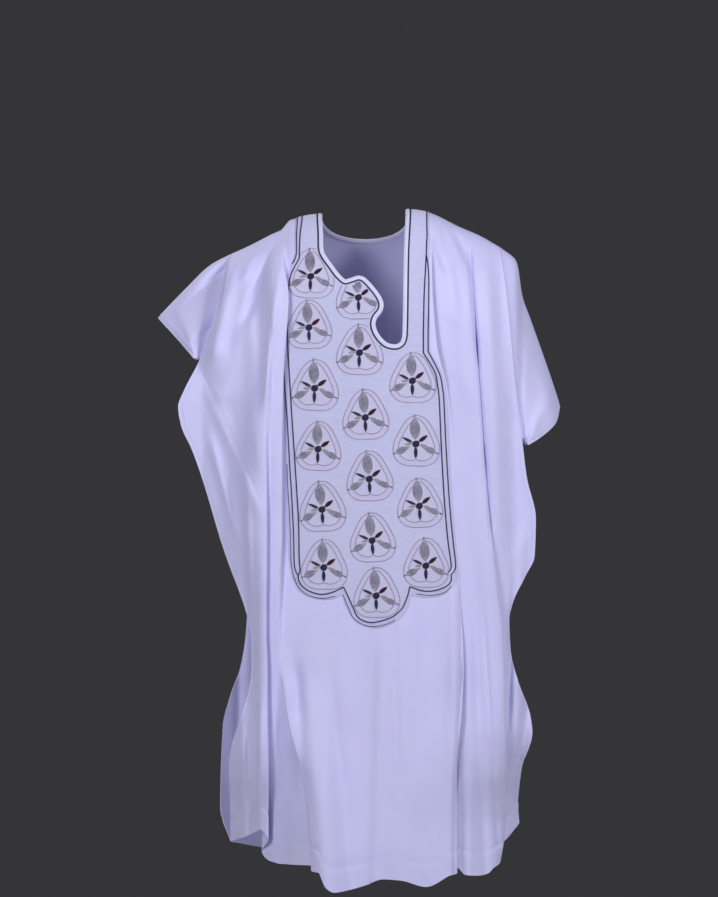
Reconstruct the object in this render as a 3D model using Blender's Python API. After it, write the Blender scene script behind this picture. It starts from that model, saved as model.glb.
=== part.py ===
"""A grand boubou (agbada) robe, worn and hollow, built as the pieces that a maker sews.

Front is -Y, the wearer's right hand is at -X, up is +Z, and the origin lies between
the shoulders at the height of the neck. Tables are in millimetres, the mesh in metres.
"""
import math

import bmesh
import bpy
import numpy as np
from mathutils import Vector
from mathutils.bvhtree import BVHTree

for old in list(bpy.data.objects):
    bpy.data.objects.remove(old, do_unlink=True)

MM = 0.001

# Driving sizes, in millimetres
CLOTH_WALL = 1.6
APPLIQUE_WALL = 1.2
BINDING_WALL = 1.0
SEAM_GAP = 0.42
SLEEVE_GAP = 0.85
LAY_GAP = 0.35
TRIM_GAP = 0.7
TRIM_SPACING = 9.0
SHOULDER_SPACING = 3.0
SHOULDER_GAP = 0.45
TRIM_TOP = -22.0
PANEL_GRID_FOOT = -800.0
BINDING_WIDTH = 6.5
PIPING_RADIUS = 1.0
FRONT_ROWS = 22
BACK_ROWS = 18
TOP_CROWDING = 1.25
ROUND_OVER = 190.0
REACH = 70.0
LEVEL_HEM = -1125.0
BODY_HALF = 285.0
CLOSE_TOP = -930.0
CLOSE_RUN = 110.0
LIFT_RUN = 80.0
LAP_START = 30.0
LAP_RUN = 125.0
LAP_PER_LIFT = 0.42
SEAM_AT = 0.62
FOLD_STEPS = (-0.999, -0.62, -0.36, -0.12, 0.12, 0.36, 0.62, 0.999)

# The ridge over the shoulders: distance across, height
RIDGE = [
    (-236, -72), (-205, -58), (-164, -37), (-147, -29), (-131, -12), (-84, -2),
    (0, 2), (79, 6), (110, 2), (124, -3), (164, -23), (203, -40), (238, -60),
]

# How far the cloth stands from the middle plane: height, middle, edge
FRONT_DEPTH = [
    (0, 112, 20), (-80, 118, 48), (-200, 130, 70), (-350, 140, 84), (-600, 148, 80),
    (-750, 154, 72), (-900, 161, 74), (-980, 167, 44), (-1040, 171, 11), (-1072, 173, 0.8),
    (-1120, 176, 0.8),
]
BACK_DEPTH = [
    (0, 108, 20), (-80, 120, 48), (-200, 140, 72), (-350, 144, 86), (-600, 148, 84),
    (-750, 152, 74), (-900, 158, 76), (-980, 163, 44), (-1040, 167, 11), (-1072, 169, 0.8),
    (-1120, 172, 0.8),
]

# Open edges of the wings: height, distance across
FRONT_EDGE_RIGHT = [
    (-72, -236), (-154, -250), (-233, -280), (-262, -291), (-313, -317), (-341, -327),
    (-373, -322), (-416, -303), (-472, -283), (-581, -250), (-675, -217), (-714, -205),
    (-751, -198), (-801, -198), (-875, -213), (-927, -231), (-968, -238), (-1106, -236),
]
FRONT_EDGE_LEFT = [
    (-60, 238), (-163, 250), (-296, 262), (-409, 276), (-464, 283), (-537, 299),
    (-602, 297), (-640, 279), (-688, 257), (-712, 252), (-761, 254), (-819, 267),
    (-884, 290), (-912, 293), (-978, 274), (-1043, 269), (-1074, 271),
]
BACK_EDGE_RIGHT = [
    (-72, -236), (-154, -248), (-262, -278), (-341, -304), (-400, -298), (-480, -268),
    (-580, -238), (-675, -208), (-749, -212), (-800, -220), (-856, -240), (-906, -252),
    (-992, -255), (-1045, -255), (-1106, -236),
]
BACK_EDGE_LEFT = [
    (-60, 238), (-163, 248), (-296, 260), (-409, 272), (-537, 288), (-602, 284),
    (-660, 262), (-712, 242), (-761, 242), (-819, 258), (-884, 281), (-925, 286),
    (-978, 268), (-1043, 265), (-1074, 271),
]

# Lapped folds: height, middle of the fold, lap, lift of the -X side, lift of the +X side
WING_PLEAT_RIGHT = [
    (-40, -170, 0, 16, 16), (-200, -166, 1, 20, 17), (-330, -168, 4, 26, 16),
    (-420, -172, 6, 31, 16), (-560, -174, 6, 31, 16), (-620, -174, 6, 30, 15),
    (-680, -175, 6, 27, 12), (-740, -175, 6, 24, 8), (-790, -174, 7, 20, 3),
    (-840, -174, 7, 19, 0), (-960, -174, 9, 24, 0), (-1095, -175, 9, 28, 0),
]
DRAPE_EDGE_RIGHT = [
    (-20, -143, 7, 16, 0), (-90, -141, 7, 17, 0), (-154, -137, 7, 18, 0),
    (-290, -146, 7, 17, 0), (-420, -148, 7, 16, 0), (-560, -148, 7, 16, 0),
    (-620, -148, 4, 15, 0), (-680, -148, 2, 12, 0), (-740, -148, 0.7, 8, 0), (-790, -147, 0, 3, 2),
    (-840, -141, 0, 0, 7), (-890, -132, 2, 0, 12), (-930, -120, 5, 0, 16),
    (-968, -108, 11, 0, 20), (-1022, -97, 11, 0, 22), (-1140, -86, 11, 0, 24),
]
DRAPE_EDGE_LEFT = [
    (0, 114, 7, 0, 15), (-70, 114, 7, 0, 16), (-119, 118, 7, 0, 16), (-222, 131, 6, 0, 15),
    (-300, 146, 3, 0, 8), (-420, 155, 0, 0, 1), (-618, 166, 0, 1, 0), (-779, 170, 4, 9, 0),
    (-865, 165, 7, 16, 0), (-976, 155, 8, 19, 0), (-1160, 155, 8, 20, 0),
]
DEEP_CREASE_LEFT = [
    (-35, 184, 3, 10, 0), (-103, 197, 7, 18, 0), (-177, 199, 8, 24, 0),
    (-296, 202, 8, 22, 0), (-434, 210, 8, 22, 0), (-542, 218, 8, 22, 0),
    (-668, 230, 8, 24, 0), (-723, 236, 8, 26, 0), (-912, 240, 9, 32, 0),
    (-1060, 240, 9, 28, 0), (-1150, 226, 9, 26, 0),
]
BACK_PLEAT_RIGHT = [
    (-20, -130, 0, 12, 0), (-120, -134, 4, 18, 0), (-240, -140, 8, 20, 0), (-400, -146, 8, 20, 0),
    (-800, -150, 8, 20, 0), (-1140, -152, 9, 24, 0),
]
BACK_PLEAT_LEFT = [
    (-8, 122, 0, 0, 12), (-120, 130, 4, 0, 18), (-240, 140, 8, 0, 20), (-400, 148, 8, 0, 20),
    (-800, 156, 8, 0, 20), (-1140, 162, 9, 0, 24),
]

# Hems: share of the stretch between two folds, height
HEM_FRONT_WING_RIGHT = [(0.0, -1106), (0.5, -1094), (1.0, -1079)]
HEM_FRONT_PLEAT_RIGHT = [(0.0, -1134), (0.3, -1139), (1.0, -1139)]
HEM_FRONT_MIDDLE = [
    (0.0, -1150), (0.05, -1176), (0.11, -1184), (0.22, -1181), (0.36, -1172),
    (0.48, -1162), (0.62, -1164), (0.82, -1176), (1.0, -1157),
]
HEM_FRONT_DRAPE_LEFT = [(0.0, -1146), (0.2, -1158), (0.6, -1160), (0.85, -1157), (1.0, -1148)]
HEM_FRONT_WING_LEFT = [(0.0, -1110), (0.4, -1098), (1.0, -1074)]
HEM_BACK_WING_RIGHT = [(0.0, -1106), (1.0, -1128)]
HEM_BACK_MIDDLE = [(0.0, -1140), (0.3, -1152), (0.7, -1150), (1.0, -1138)]
HEM_BACK_WING_LEFT = [(0.0, -1126), (1.0, -1074)]

# Soft folds: top x, top z, low x, low z, depth (out is positive), half width
FRONT_SOFT = [
    (-158, -30, -176, -420, 7, 15), (-180, -60, -196, -330, -7, 15),
    (-205, -75, -236, -300, 7, 18), (-222, -110, -250, -250, -5, 13),
    (-262, -330, -188, -520, 5, 16), (-226, -420, -204, -700, -6, 20),
    (-196, -620, -190, -1060, -6, 18), (-212, -840, -216, -1090, 9, 20),
    (-122, -780, -108, -1010, -8, 16), (-84, -860, -62, -1180, 7, 24),
    (-10, -700, -4, -1170, -5, 40), (60, -640, 72, -1170, 6, 36),
    (118, -620, 122, -1170, -6, 26), (140, -40, 166, -260, -6, 13),
    (156, -60, 184, -420, 6, 16), (190, -640, 206, -1150, -6, 14),
    (186, -700, 182, -1150, 6, 14), (222, -120, 236, -560, 8, 15),
    (258, -300, 268, -640, -7, 18), (276, -560, 262, -700, 6, 15),
    (262, -800, 268, -960, 8, 22),
]
BACK_SOFT = [
    (-176, -60, -196, -560, 9, 20), (-210, -90, -240, -480, -8, 18),
    (-196, -520, -200, -1110, -8, 22), (-176, -700, -170, -1130, 8, 18),
    (-70, -420, -84, -1140, 7, 34), (-10, -380, -6, -1150, -8, 36),
    (58, -440, 70, -1150, 8, 34), (120, -620, 124, -1140, -6, 22),
    (168, -50, 190, -540, 9, 20), (204, -90, 236, -520, -8, 18),
    (196, -560, 204, -1110, -8, 22), (238, -820, 240, -1060, 8, 22),
]

# The neck opening's piping line, from the right strap down, round and up: across, height
NECK_LINE = [
    (-85, 40), (-84, -2), (-82, -36), (-81, -66), (-76, -80), (-62, -100), (-50, -116), (-36, -127),
    (-22, -124), (-8, -121), (8, -136), (22, -156), (23, -170), (13, -184), (10, -200),
    (17, -219), (33, -236), (51, -241), (64, -237), (72, -224), (74, -191), (76, -76),
    (80, 0), (80, 40),
]
BACK_NECK_DROP = 48.0
BACK_NECK_HALF = 77.0
BACK_NECK_STEPS = 16

# The embroidered panel's outline, from its right strap down, round and up: across, height
PANEL_LINE = [
    (-121, 40), (-121, -76), (-127, -90), (-137, -120), (-142, -160), (-145, -224), (-140, -329),
    (-135, -504), (-133, -592), (-127, -628), (-113, -656), (-96, -671), (-74, -677),
    (-50, -674), (-40, -668), (-36, -680), (-28, -698), (-12, -717), (16, -726), (42, -721),
    (62, -708), (74, -692), (80, -670), (92, -672), (115, -673), (138, -668), (154, -652),
    (160, -634), (160, -600), (152, -504), (147, -415), (143, -329), (135, -284), (111, -246),
    (107, -228), (106, -60), (104, 40),
]

# Turned-up sleeves: height of the seam's foot, then the ridge and the open edge as across, height
SLEEVE_RIGHT = {
    "ridge": [(0.0, -238, -73), (0.3, -272, -91), (0.65, -320, -137), (1.0, -365, -184)],
    "edge": [(0.0, -365, -184), (0.5, -330, -222), (1.0, -300, -256)],
    "foot": -240.0,
    "spread": 34.0,
    "valley": 34.0,
}
SLEEVE_LEFT = {
    "ridge": [(0.0, 240, -61), (0.12, 268, -86), (0.3, 278, -146), (0.45, 293, -189),
              (0.75, 326, -284), (1.0, 344, -340)],
    "edge": [(0.0, 344, -340), (0.25, 337, -366), (0.6, 310, -393), (1.0, 286, -408)],
    "foot": -398.0,
    "spread": 66.0,
    "valley": 16.0,
}

parts = bpy.data.collections.new("grand_boubou_robe")
cutters = bpy.data.collections.new("cutters")
bpy.context.scene.collection.children.link(parts)
bpy.context.scene.collection.children.link(cutters)


def make_material(name, colour, roughness):
    """Gives one cloth or thread its colour."""
    material = bpy.data.materials.new(name)
    material.use_nodes = True
    shader = material.node_tree.nodes["Principled BSDF"]
    shader.inputs["Base Color"].default_value = (*colour, 1.0)
    shader.inputs["Roughness"].default_value = roughness
    shader.inputs["Metallic"].default_value = 0.0
    return material


def smooth_value(rows, at, column=1):
    """Reads a table's column at a key, on a smooth curve through the rows."""
    keys = [row[0] for row in rows]
    values = [row[column] for row in rows]
    if keys[0] > keys[-1]:
        keys.reverse()
        values.reverse()
    at = min(max(at, keys[0]), keys[-1])
    i = min(int(np.searchsorted(keys, at, side="right")) - 1, len(keys) - 2)
    slopes = [(values[k + 1] - values[k]) / (keys[k + 1] - keys[k]) for k in range(len(keys) - 1)]

    def tangent(k):
        if k == 0 or k == len(keys) - 1:
            return slopes[min(k, len(slopes) - 1)]
        before, after = slopes[k - 1], slopes[k]
        if before * after <= 0:
            return 0.0
        return 2 * before * after / (before + after)

    span = keys[i + 1] - keys[i]
    f = (at - keys[i]) / span
    rise_0 = tangent(i) * span
    rise_1 = tangent(i + 1) * span
    start = (2 * f**3 - 3 * f**2 + 1) * values[i] + (f**3 - 2 * f**2 + f) * rise_0
    end = (3 * f**2 - 2 * f**3) * values[i + 1] + (f**3 - f**2) * rise_1
    return start + end


def ease(value):
    """Rises smoothly from 0 to 1."""
    value = min(max(value, 0.0), 1.0)
    return value * value * (3 - 2 * value)


class Sheet:
    """One hanging side of the robe, front or back, as a rule from (column, row) to a point."""

    def __init__(self, side, depth, edges, folds, hems, soft):
        self.side = side
        self.depth = depth
        self.edges = edges
        self.folds = folds
        self.hems = hems
        self.soft = soft

    def line_height(self, rows, top_x, hem, t):
        """Height of a fold or edge line at share t of its way down."""
        return self.height(smooth_value(RIDGE, top_x), hem, t)

    def height(self, top, hem, t):
        """Height at share t of a line: level rows above, that part to their own hems low down."""
        return top + (LEVEL_HEM - top) * t + (hem - LEVEL_HEM) * t**6

    def fold_at(self, i, t):
        """Middle, lap and lifts of fold i at share t."""
        rows = self.folds[i]["rows"]
        hem = 0.5 * (self.hems[i][-1][1] + self.hems[i + 1][0][1])
        z = self.line_height(rows, rows[0][1], hem, t)
        middle, lap, lift_0, lift_1 = [smooth_value(rows, z, k) for k in (1, 2, 3, 4)]
        drop = (smooth_value(RIDGE, rows[0][1]) - hem) * t
        rise = ease(drop / LIFT_RUN)
        lap = min(lap, LAP_PER_LIFT * abs(lift_0 - lift_1)) * ease((drop - LAP_START) / LAP_RUN)
        return middle, lap, lift_0 * rise, lift_1 * rise

    def base_depth(self, x, z, half_left, half_right):
        """Distance of the plain hanging cloth from the middle plane."""
        ridge = smooth_value(RIDGE, x)
        drop = max(ridge - z, 0.0)
        middle = smooth_value(self.depth, z, 1)
        edge = smooth_value(self.depth, z, 2)
        follow = ease((CLOSE_TOP - z) / CLOSE_RUN)
        half = half_left if x < 0 else half_right
        share = min(abs(x) / (BODY_HALF + (half - BODY_HALF) * follow), 1.0)
        full = edge + (middle - edge) * (1 - share**2.3)
        q = min(drop / ROUND_OVER, 1.0)
        return full * math.sqrt(1 - (1 - q) ** 2)

    def soft_depth(self, x, z):
        """Sum of the soft folds at a place."""
        total = 0.0
        for top_x, top_z, low_x, low_z, height, half in self.soft:
            along = (top_z - z) / (top_z - low_z)
            if along <= -0.2 or along >= 1.2:
                continue
            middle = top_x + (low_x - top_x) * along
            off = (x - middle) / half
            if abs(off) >= 2.0:
                continue
            fade = ease((along + 0.2) / 0.4) * ease((1.2 - along) / 0.35)
            if low_z < -1040:
                fade = ease((along + 0.2) / 0.4)
            total += height * fade * math.exp(-1.6 * off * off) * ease(2.0 - abs(off))
        return total

    def point(self, column, t):
        """Point in millimetres of a column at share t of the way from shoulder to hem."""
        kind, i, f = column
        edge_0 = smooth_value(self.edges[0], self.edge_height(0, t))
        edge_1 = smooth_value(self.edges[1], self.edge_height(1, t))
        if kind == "fold":
            middle, lap, lift_0, lift_1 = self.fold_at(i, t)
            half = self.folds[i]["half"]
            x = middle + half * f - lap * math.sin(math.pi * f)
            share = 0.5 * (1 - math.sin(0.5 * math.pi * f))
            lift = lift_0 * share + lift_1 * (1 - share)
            before, after = self.hems[i][-1][1], self.hems[i + 1][0][1]
            hem = before + (after - before) * 0.5 * (f + 1)
        else:
            start, lift_start = edge_0, 0.0
            end, lift_end = edge_1, 0.0
            if i > 0:
                middle, lap, lift_0, lift_1 = self.fold_at(i - 1, t)
                start, lift_start = middle + self.folds[i - 1]["half"], lift_1
            if i < len(self.folds):
                middle, lap, lift_0, lift_1 = self.fold_at(i, t)
                end, lift_end = middle - self.folds[i]["half"], lift_0
            width = end - start
            x = start + width * f
            reach = min(REACH, width)
            lift = lift_start * math.cos(0.5 * math.pi * min((x - start) / reach, 1.0)) ** 2
            lift += lift_end * math.cos(0.5 * math.pi * min((end - x) / reach, 1.0)) ** 2
            hem = smooth_value(self.hems[i], f)
        top = smooth_value(RIDGE, x)
        z = self.height(top, hem, t)
        depth = self.base_depth(x, z, -edge_0, edge_1)
        fade = ease((top - z) / 60.0)
        to_edge = min(x - edge_0, edge_1 - x)
        closing = ease(to_edge / 40.0) if z < -960 else 1.0
        depth += fade * closing * self.soft_depth(x, z) + lift
        return (x, self.side * (depth + SHOULDER_GAP), z)

    def frame(self, column, t):
        """Point, way out of the cloth and way across it, at a column and a share."""
        kind, i, f = column
        step_f = 0.02 if kind == "fold" else 0.01
        low_t, high_t = max(t - 0.004, 0.0), min(t + 0.004, 1.0)
        low_f = f - step_f
        high_f = f + step_f
        if kind == "plain":
            low_f, high_f = max(low_f, 0.0), min(high_f, 1.0)
        across = Vector(self.point((kind, i, high_f), t)) - Vector(self.point((kind, i, low_f), t))
        down = Vector(self.point(column, high_t)) - Vector(self.point(column, low_t))
        out = across.cross(down) * self.side
        if t == 0.0:
            out.y = 0.0
        return Vector(self.point(column, t)), out.normalized(), across.normalized()

    def edge_height(self, which, t):
        """Height of an open edge at share t."""
        rows = self.edges[which]
        return self.height(rows[0][0], rows[-1][0], t)


def stretch(i, count, first=True, last=True):
    """Columns of the plain stretch before fold i."""
    columns = [("plain", i, k / count) for k in range(1, count)]
    if first:
        columns.insert(0, ("plain", i, 0.0))
    if last:
        columns.append(("plain", i, 1.0))
    return columns


def whole_fold(i):
    """Columns over the whole of fold i."""
    return [("fold", i, f) for f in FOLD_STEPS]


def fold_before_seam(i, at):
    """Columns of fold i up to the seam hidden in it."""
    return [("fold", i, f) for f in FOLD_STEPS if f < at - 0.05] + [("seam_before", i, at)]


def fold_after_seam(i, at):
    """Columns of fold i from the seam hidden in it."""
    return [("seam_after", i, at)] + [("fold", i, f) for f in FOLD_STEPS if f > at + 0.05]


def sheet_grid(sheet, columns, shares):
    """Rows of (point, way out of the cloth), with seam columns trimmed back by the gap."""
    grid = []
    for t in shares:
        row = []
        for kind, i, f in columns:
            if kind in ("seam_before", "seam_after"):
                place, out, across = sheet.frame(("fold", i, f), t)
                sign = -1 if kind == "seam_before" else 1
                row.append((place + across * sign * SEAM_GAP, out))
            else:
                row.append(sheet.frame((kind, i, f), t)[:2])
        grid.append(row)
    return grid


def row_shares(count):
    """Shares of the way down, closer together over the shoulder."""
    return [(k / count) ** TOP_CROWDING for k in range(count + 1)]


def walled_mesh(name, grid, wall, lift):
    """Makes a closed wall in metres from rows of (point, way out) in millimetres."""
    wide, high = len(grid[0]), len(grid)
    layer = wide * high
    points = []
    for offset in (lift + wall / 2, lift - wall / 2):
        for row in grid:
            points += [tuple((place + out * offset) * MM) for place, out in row]
    faces = []
    for r in range(high - 1):
        for c in range(wide - 1):
            a = r * wide + c
            for base in (0, layer):
                faces.append((base + a, base + a + 1, base + a + wide + 1))
                faces.append((base + a, base + a + wide + 1, base + a + wide))
    rim = list(range(wide)) + [r * wide + wide - 1 for r in range(1, high)]
    rim += [(high - 1) * wide + c for c in range(wide - 2, -1, -1)]
    rim += [r * wide for r in range(high - 2, 0, -1)]
    for a, b in zip(rim, rim[1:] + rim[:1]):
        faces.append((a, b, b + layer))
        faces.append((a, b + layer, a + layer))
    mesh = bpy.data.meshes.new(name)
    mesh.from_pydata(points, [], faces)
    tool = bmesh.new()
    tool.from_mesh(mesh)
    bmesh.ops.recalc_face_normals(tool, faces=tool.faces)
    tool.to_mesh(mesh)
    tool.free()
    return mesh


def with_ways_out(grid, outward):
    """Adds to rows of points the way out of the cloth, on the side of a rough direction."""
    result = []
    for r, row in enumerate(grid):
        made = []
        for c, place in enumerate(row):
            across = row[min(c + 1, len(row) - 1)] - row[max(c - 1, 0)]
            down = grid[min(r + 1, len(grid) - 1)][c] - grid[max(r - 1, 0)][c]
            out = across.cross(down).normalized()
            made.append((place, out * outward))
        result.append(made)
    return result


def finish_piece(obj, material):
    """Shades a piece smooth, gives it its material and files it with the parts."""
    obj.data.materials.append(material)
    obj.data.shade_smooth()
    parts.objects.link(obj)


def cloth_piece(name, grid, material, wall=CLOTH_WALL, lift=0.0):
    """Makes one walled piece of cloth."""
    obj = bpy.data.objects.new(name, walled_mesh(name, grid, wall, lift))
    finish_piece(obj, material)
    return obj


def curve_through(line, spacing):
    """Points on a smooth curve through a line of places, about one to each spacing."""
    places = [Vector((x, z)) for x, z in line]
    result = []
    for i in range(len(places) - 1):
        before = places[max(i - 1, 0)]
        start = places[i]
        end = places[i + 1]
        after = places[min(i + 2, len(places) - 1)]
        close = SHOULDER_SPACING if min(start.y, end.y) > -80 else spacing
        steps = max(int(round((end - start).length / close)), 1)
        for k in range(steps):
            f = k / steps
            bend = (end - before) * 0.5
            bend_end = (after - start) * 0.5
            place = start * (2 * f**3 - 3 * f**2 + 1) + bend * (f**3 - 2 * f**2 + f)
            place += end * (3 * f**2 - 2 * f**3) + bend_end * (f**3 - f**2)
            result.append(place)
    result.append(places[-1])
    return result


def offset_line(line, distance):
    """Moves a line of places to its left by a distance, seen along its way."""
    result = []
    for i, place in enumerate(line):
        way = line[min(i + 1, len(line) - 1)] - line[max(i - 1, 0)]
        way.normalize()
        result.append(place + Vector((-way.y, way.x)) * distance)
    return result


def prism(name, line, near_y, far_y):
    """A cutter: the outline in the XZ plane, run from one depth to another."""
    mesh = bpy.data.meshes.new(name)
    tool = bmesh.new()
    near = [tool.verts.new((p.x * MM, near_y * MM, p.y * MM)) for p in line]
    face = tool.faces.new(near)
    grown = bmesh.ops.extrude_face_region(tool, geom=[face])
    moved = [v for v in grown["geom"] if isinstance(v, bmesh.types.BMVert)]
    bmesh.ops.translate(tool, verts=moved, vec=(0, (far_y - near_y) * MM, 0))
    bmesh.ops.recalc_face_normals(tool, faces=tool.faces)
    tool.to_mesh(mesh)
    tool.free()
    obj = bpy.data.objects.new(name, mesh)
    obj.hide_render = True
    obj.display_type = "WIRE"
    cutters.objects.link(obj)
    return obj


def cut(obj, cutter, operation):
    """Cuts a piece with a cutter."""
    step = obj.modifiers.new(cutter.name, "BOOLEAN")
    step.operation = operation
    step.solver = "EXACT"
    step.object = cutter


cloth = make_material("white_robe_cloth", (0.78, 0.77, 0.92), 0.62)
ground = make_material("pale_blue_embroidery_ground", (0.66, 0.72, 0.86), 0.7)
binding_cloth = make_material("white_binding", (0.84, 0.84, 0.94), 0.55)
dark_cord = make_material("dark_piping", (0.03, 0.03, 0.05), 0.5)

front = Sheet(
    -1, FRONT_DEPTH, (FRONT_EDGE_RIGHT, FRONT_EDGE_LEFT),
    [
        {"rows": WING_PLEAT_RIGHT, "half": 7.0}, {"rows": DRAPE_EDGE_RIGHT, "half": 7.0},
        {"rows": DRAPE_EDGE_LEFT, "half": 8.0}, {"rows": DEEP_CREASE_LEFT, "half": 6.0},
    ],
    [
        HEM_FRONT_WING_RIGHT, HEM_FRONT_PLEAT_RIGHT, HEM_FRONT_MIDDLE,
        HEM_FRONT_DRAPE_LEFT, HEM_FRONT_WING_LEFT,
    ],
    FRONT_SOFT,
)
back = Sheet(
    1, BACK_DEPTH, (BACK_EDGE_RIGHT, BACK_EDGE_LEFT),
    [{"rows": BACK_PLEAT_RIGHT, "half": 9.0}, {"rows": BACK_PLEAT_LEFT, "half": 9.0}],
    [HEM_BACK_WING_RIGHT, HEM_BACK_MIDDLE, HEM_BACK_WING_LEFT],
    BACK_SOFT,
)

front_shares = row_shares(FRONT_ROWS)
back_shares = row_shares(BACK_ROWS)
middle_columns = fold_after_seam(1, SEAM_AT) + stretch(2, 16, False, False)
middle_columns += fold_before_seam(2, -SEAM_AT)
middle_grid = sheet_grid(front, middle_columns, front_shares)

# Front of the body and its two wings
body_front = cloth_piece("body_front", middle_grid, cloth)
wing_right_columns = stretch(0, 7, True, False) + whole_fold(0)
wing_right_columns += stretch(1, 2, False, False) + fold_before_seam(1, SEAM_AT)
wing_right_front = cloth_piece(
    "wing_right_front", sheet_grid(front, wing_right_columns, front_shares), cloth)
wing_left_columns = fold_after_seam(2, -SEAM_AT) + stretch(3, 6, False, False) + whole_fold(3)
wing_left_columns += stretch(4, 4, False, True)
wing_left_front = cloth_piece(
    "wing_left_front", sheet_grid(front, wing_left_columns, front_shares), cloth)

# Back of the body and its two wings
back_columns = fold_after_seam(0, SEAM_AT) + stretch(1, 12, False, False)
back_columns += fold_before_seam(1, -SEAM_AT)
body_back = cloth_piece("body_back", sheet_grid(back, back_columns, back_shares), cloth)
back_right_columns = stretch(0, 6, True, False) + fold_before_seam(0, SEAM_AT)
wing_right_back = cloth_piece(
    "wing_right_back", sheet_grid(back, back_right_columns, back_shares), cloth)
back_left_columns = fold_after_seam(1, -SEAM_AT) + stretch(2, 6, False, True)
wing_left_back = cloth_piece(
    "wing_left_back", sheet_grid(back, back_left_columns, back_shares), cloth)


def edge_point(sheet, which, t):
    """Point on a wing's open edge and the way the cloth runs off it."""
    share = 0.0 if which == 0 else 1.0
    inside = 0.06 if which == 0 else 0.94
    place = Vector(sheet.point(("plain", which * len(sheet.folds), share), t))
    behind = Vector(sheet.point(("plain", which * len(sheet.folds), inside), t))
    return place, (place - behind).normalized()


def seam_rows(sheet, which, shares, foot):
    """Places along a wing's open edge from the ridge down to the seam's foot."""
    found = [edge_point(sheet, which, t) for t in shares]
    return [pair for pair in found if pair[0].z >= foot - 0.5 * abs(found[1][0].z - found[0][0].z)]


def sleeve_grid(spec, which, across):
    """Rows of points of a turned-up sleeve, from the front edge's seam over the ridge to the back."""
    outward = -1 if which == 0 else 1
    grid = []
    front_seam = seam_rows(front, which, front_shares, spec["foot"])
    back_seam = seam_rows(back, which, back_shares, spec["foot"])
    for r in range(1 - len(front_seam), len(back_seam)):
        sheet, rows = (front, front_seam) if r < 0 else (back, back_seam)
        v = abs(r) / (len(rows) - 1)
        seam, way = rows[abs(r)]
        seam = seam.copy()
        if r == 0:
            seam.y = 0.0
            way = Vector((outward, 0, 0))
        seam += way * SLEEVE_GAP
        out_x = smooth_value(spec["edge"], v, 1)
        out_z = smooth_value(spec["edge"], v, 2)
        out_y = sheet.side * spec["spread"] * math.sin(0.5 * math.pi * v) ** 0.8 if r else 0.0
        reach = math.hypot(out_x - seam.x, out_z - seam.z)
        row = []
        for k in range(across + 1):
            u = k / across
            ridge_x = smooth_value(spec["ridge"], u, 1)
            ridge_z = smooth_value(spec["ridge"], u, 2)
            straight_x = spec["ridge"][0][1] * (1 - u) + spec["ridge"][-1][1] * u
            straight_z = spec["ridge"][0][2] * (1 - u) + spec["ridge"][-1][2] * u
            x = seam.x * (1 - u) + out_x * u + (ridge_x - straight_x) * (1 - v) ** 2
            z = seam.z * (1 - u) + out_z * u + (ridge_z - straight_z) * (1 - v) ** 2
            y = seam.y * (1 - u) + out_y * u
            dip = math.sin(math.pi * min(u / 0.7, 1.0)) * math.sin(math.pi * min(v, 0.5))
            y -= sheet.side * min(spec["valley"], 0.55 * abs(seam.y), 0.45 * reach) * dip
            row.append(Vector((x, y, z)))
        grid.append(row)
    return with_ways_out(grid, -outward)


turned_sleeve_right = cloth_piece(
    "turned_sleeve_right", sleeve_grid(SLEEVE_RIGHT, 0, 7), cloth)
turned_sleeve_left = cloth_piece(
    "turned_sleeve_left", sleeve_grid(SLEEVE_LEFT, 1, 7), cloth)


def surface_tree(obj):
    """The finished surface of a piece, for laying trim on it."""
    graph = bpy.context.evaluated_depsgraph_get()
    return BVHTree.FromObject(obj, graph)


def lay_on(tree, place, lift):
    """Point in millimetres above the front at a place of the XZ plane, and the way out there."""
    start = Vector((place.x * MM, -0.4, place.y * MM))
    hit, normal, _, _ = tree.ray_cast(start, Vector((0, 1, 0)))
    if hit is None:
        return None
    return hit / MM + normal * lift, normal


body_tree = surface_tree(body_front)

# The neck opening, cut through the front and the back of the body
neck_line = curve_through(NECK_LINE, TRIM_SPACING)
inner_line = offset_line(neck_line, BINDING_WIDTH + 1.0)
neck_cutter = prism("neck_cutter", inner_line, -300, 30)
cut(body_front, neck_cutter, "DIFFERENCE")

# The back neckline, a shallow dip between the shoulders
back_neck = [Vector((-BACK_NECK_HALF, 40))]
for k in range(BACK_NECK_STEPS + 1):
    turn = math.pi * k / BACK_NECK_STEPS
    across = -BACK_NECK_HALF * math.cos(turn)
    back_neck.append(Vector((across, 4 - BACK_NECK_DROP * math.sin(turn) ** 0.7)))
back_neck.append(Vector((BACK_NECK_HALF, 40)))
back_neck_cutter = prism("back_neck_cutter", back_neck, -0.1, 300)
cut(body_back, back_neck_cutter, "DIFFERENCE")

# The embroidered panel, made from the body's points, moved out
raised = CLOTH_WALL / 2 + LAY_GAP + APPLIQUE_WALL / 2
panel_grid = [row[1:-1] for row in middle_grid if row[8][0].z > PANEL_GRID_FOOT]
chest_panel = cloth_piece("chest_panel", panel_grid, ground, APPLIQUE_WALL, raised)
panel_line = curve_through(PANEL_LINE, 3 * TRIM_SPACING)
cut(chest_panel, prism("panel_cutter", panel_line, -300, -0.2), "INTERSECT")
outer_line = offset_line(neck_line, -(PIPING_RADIUS + LAY_GAP))
cut(chest_panel, prism("panel_neck_cutter", outer_line, -310, 30), "DIFFERENCE")


def on_front(places, lift):
    """A line laid on the body's front, without the stretch above the shoulders."""
    laid = [lay_on(body_tree, place, lift) for place in places]
    return [found[0] for found in laid if found is not None]


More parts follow.
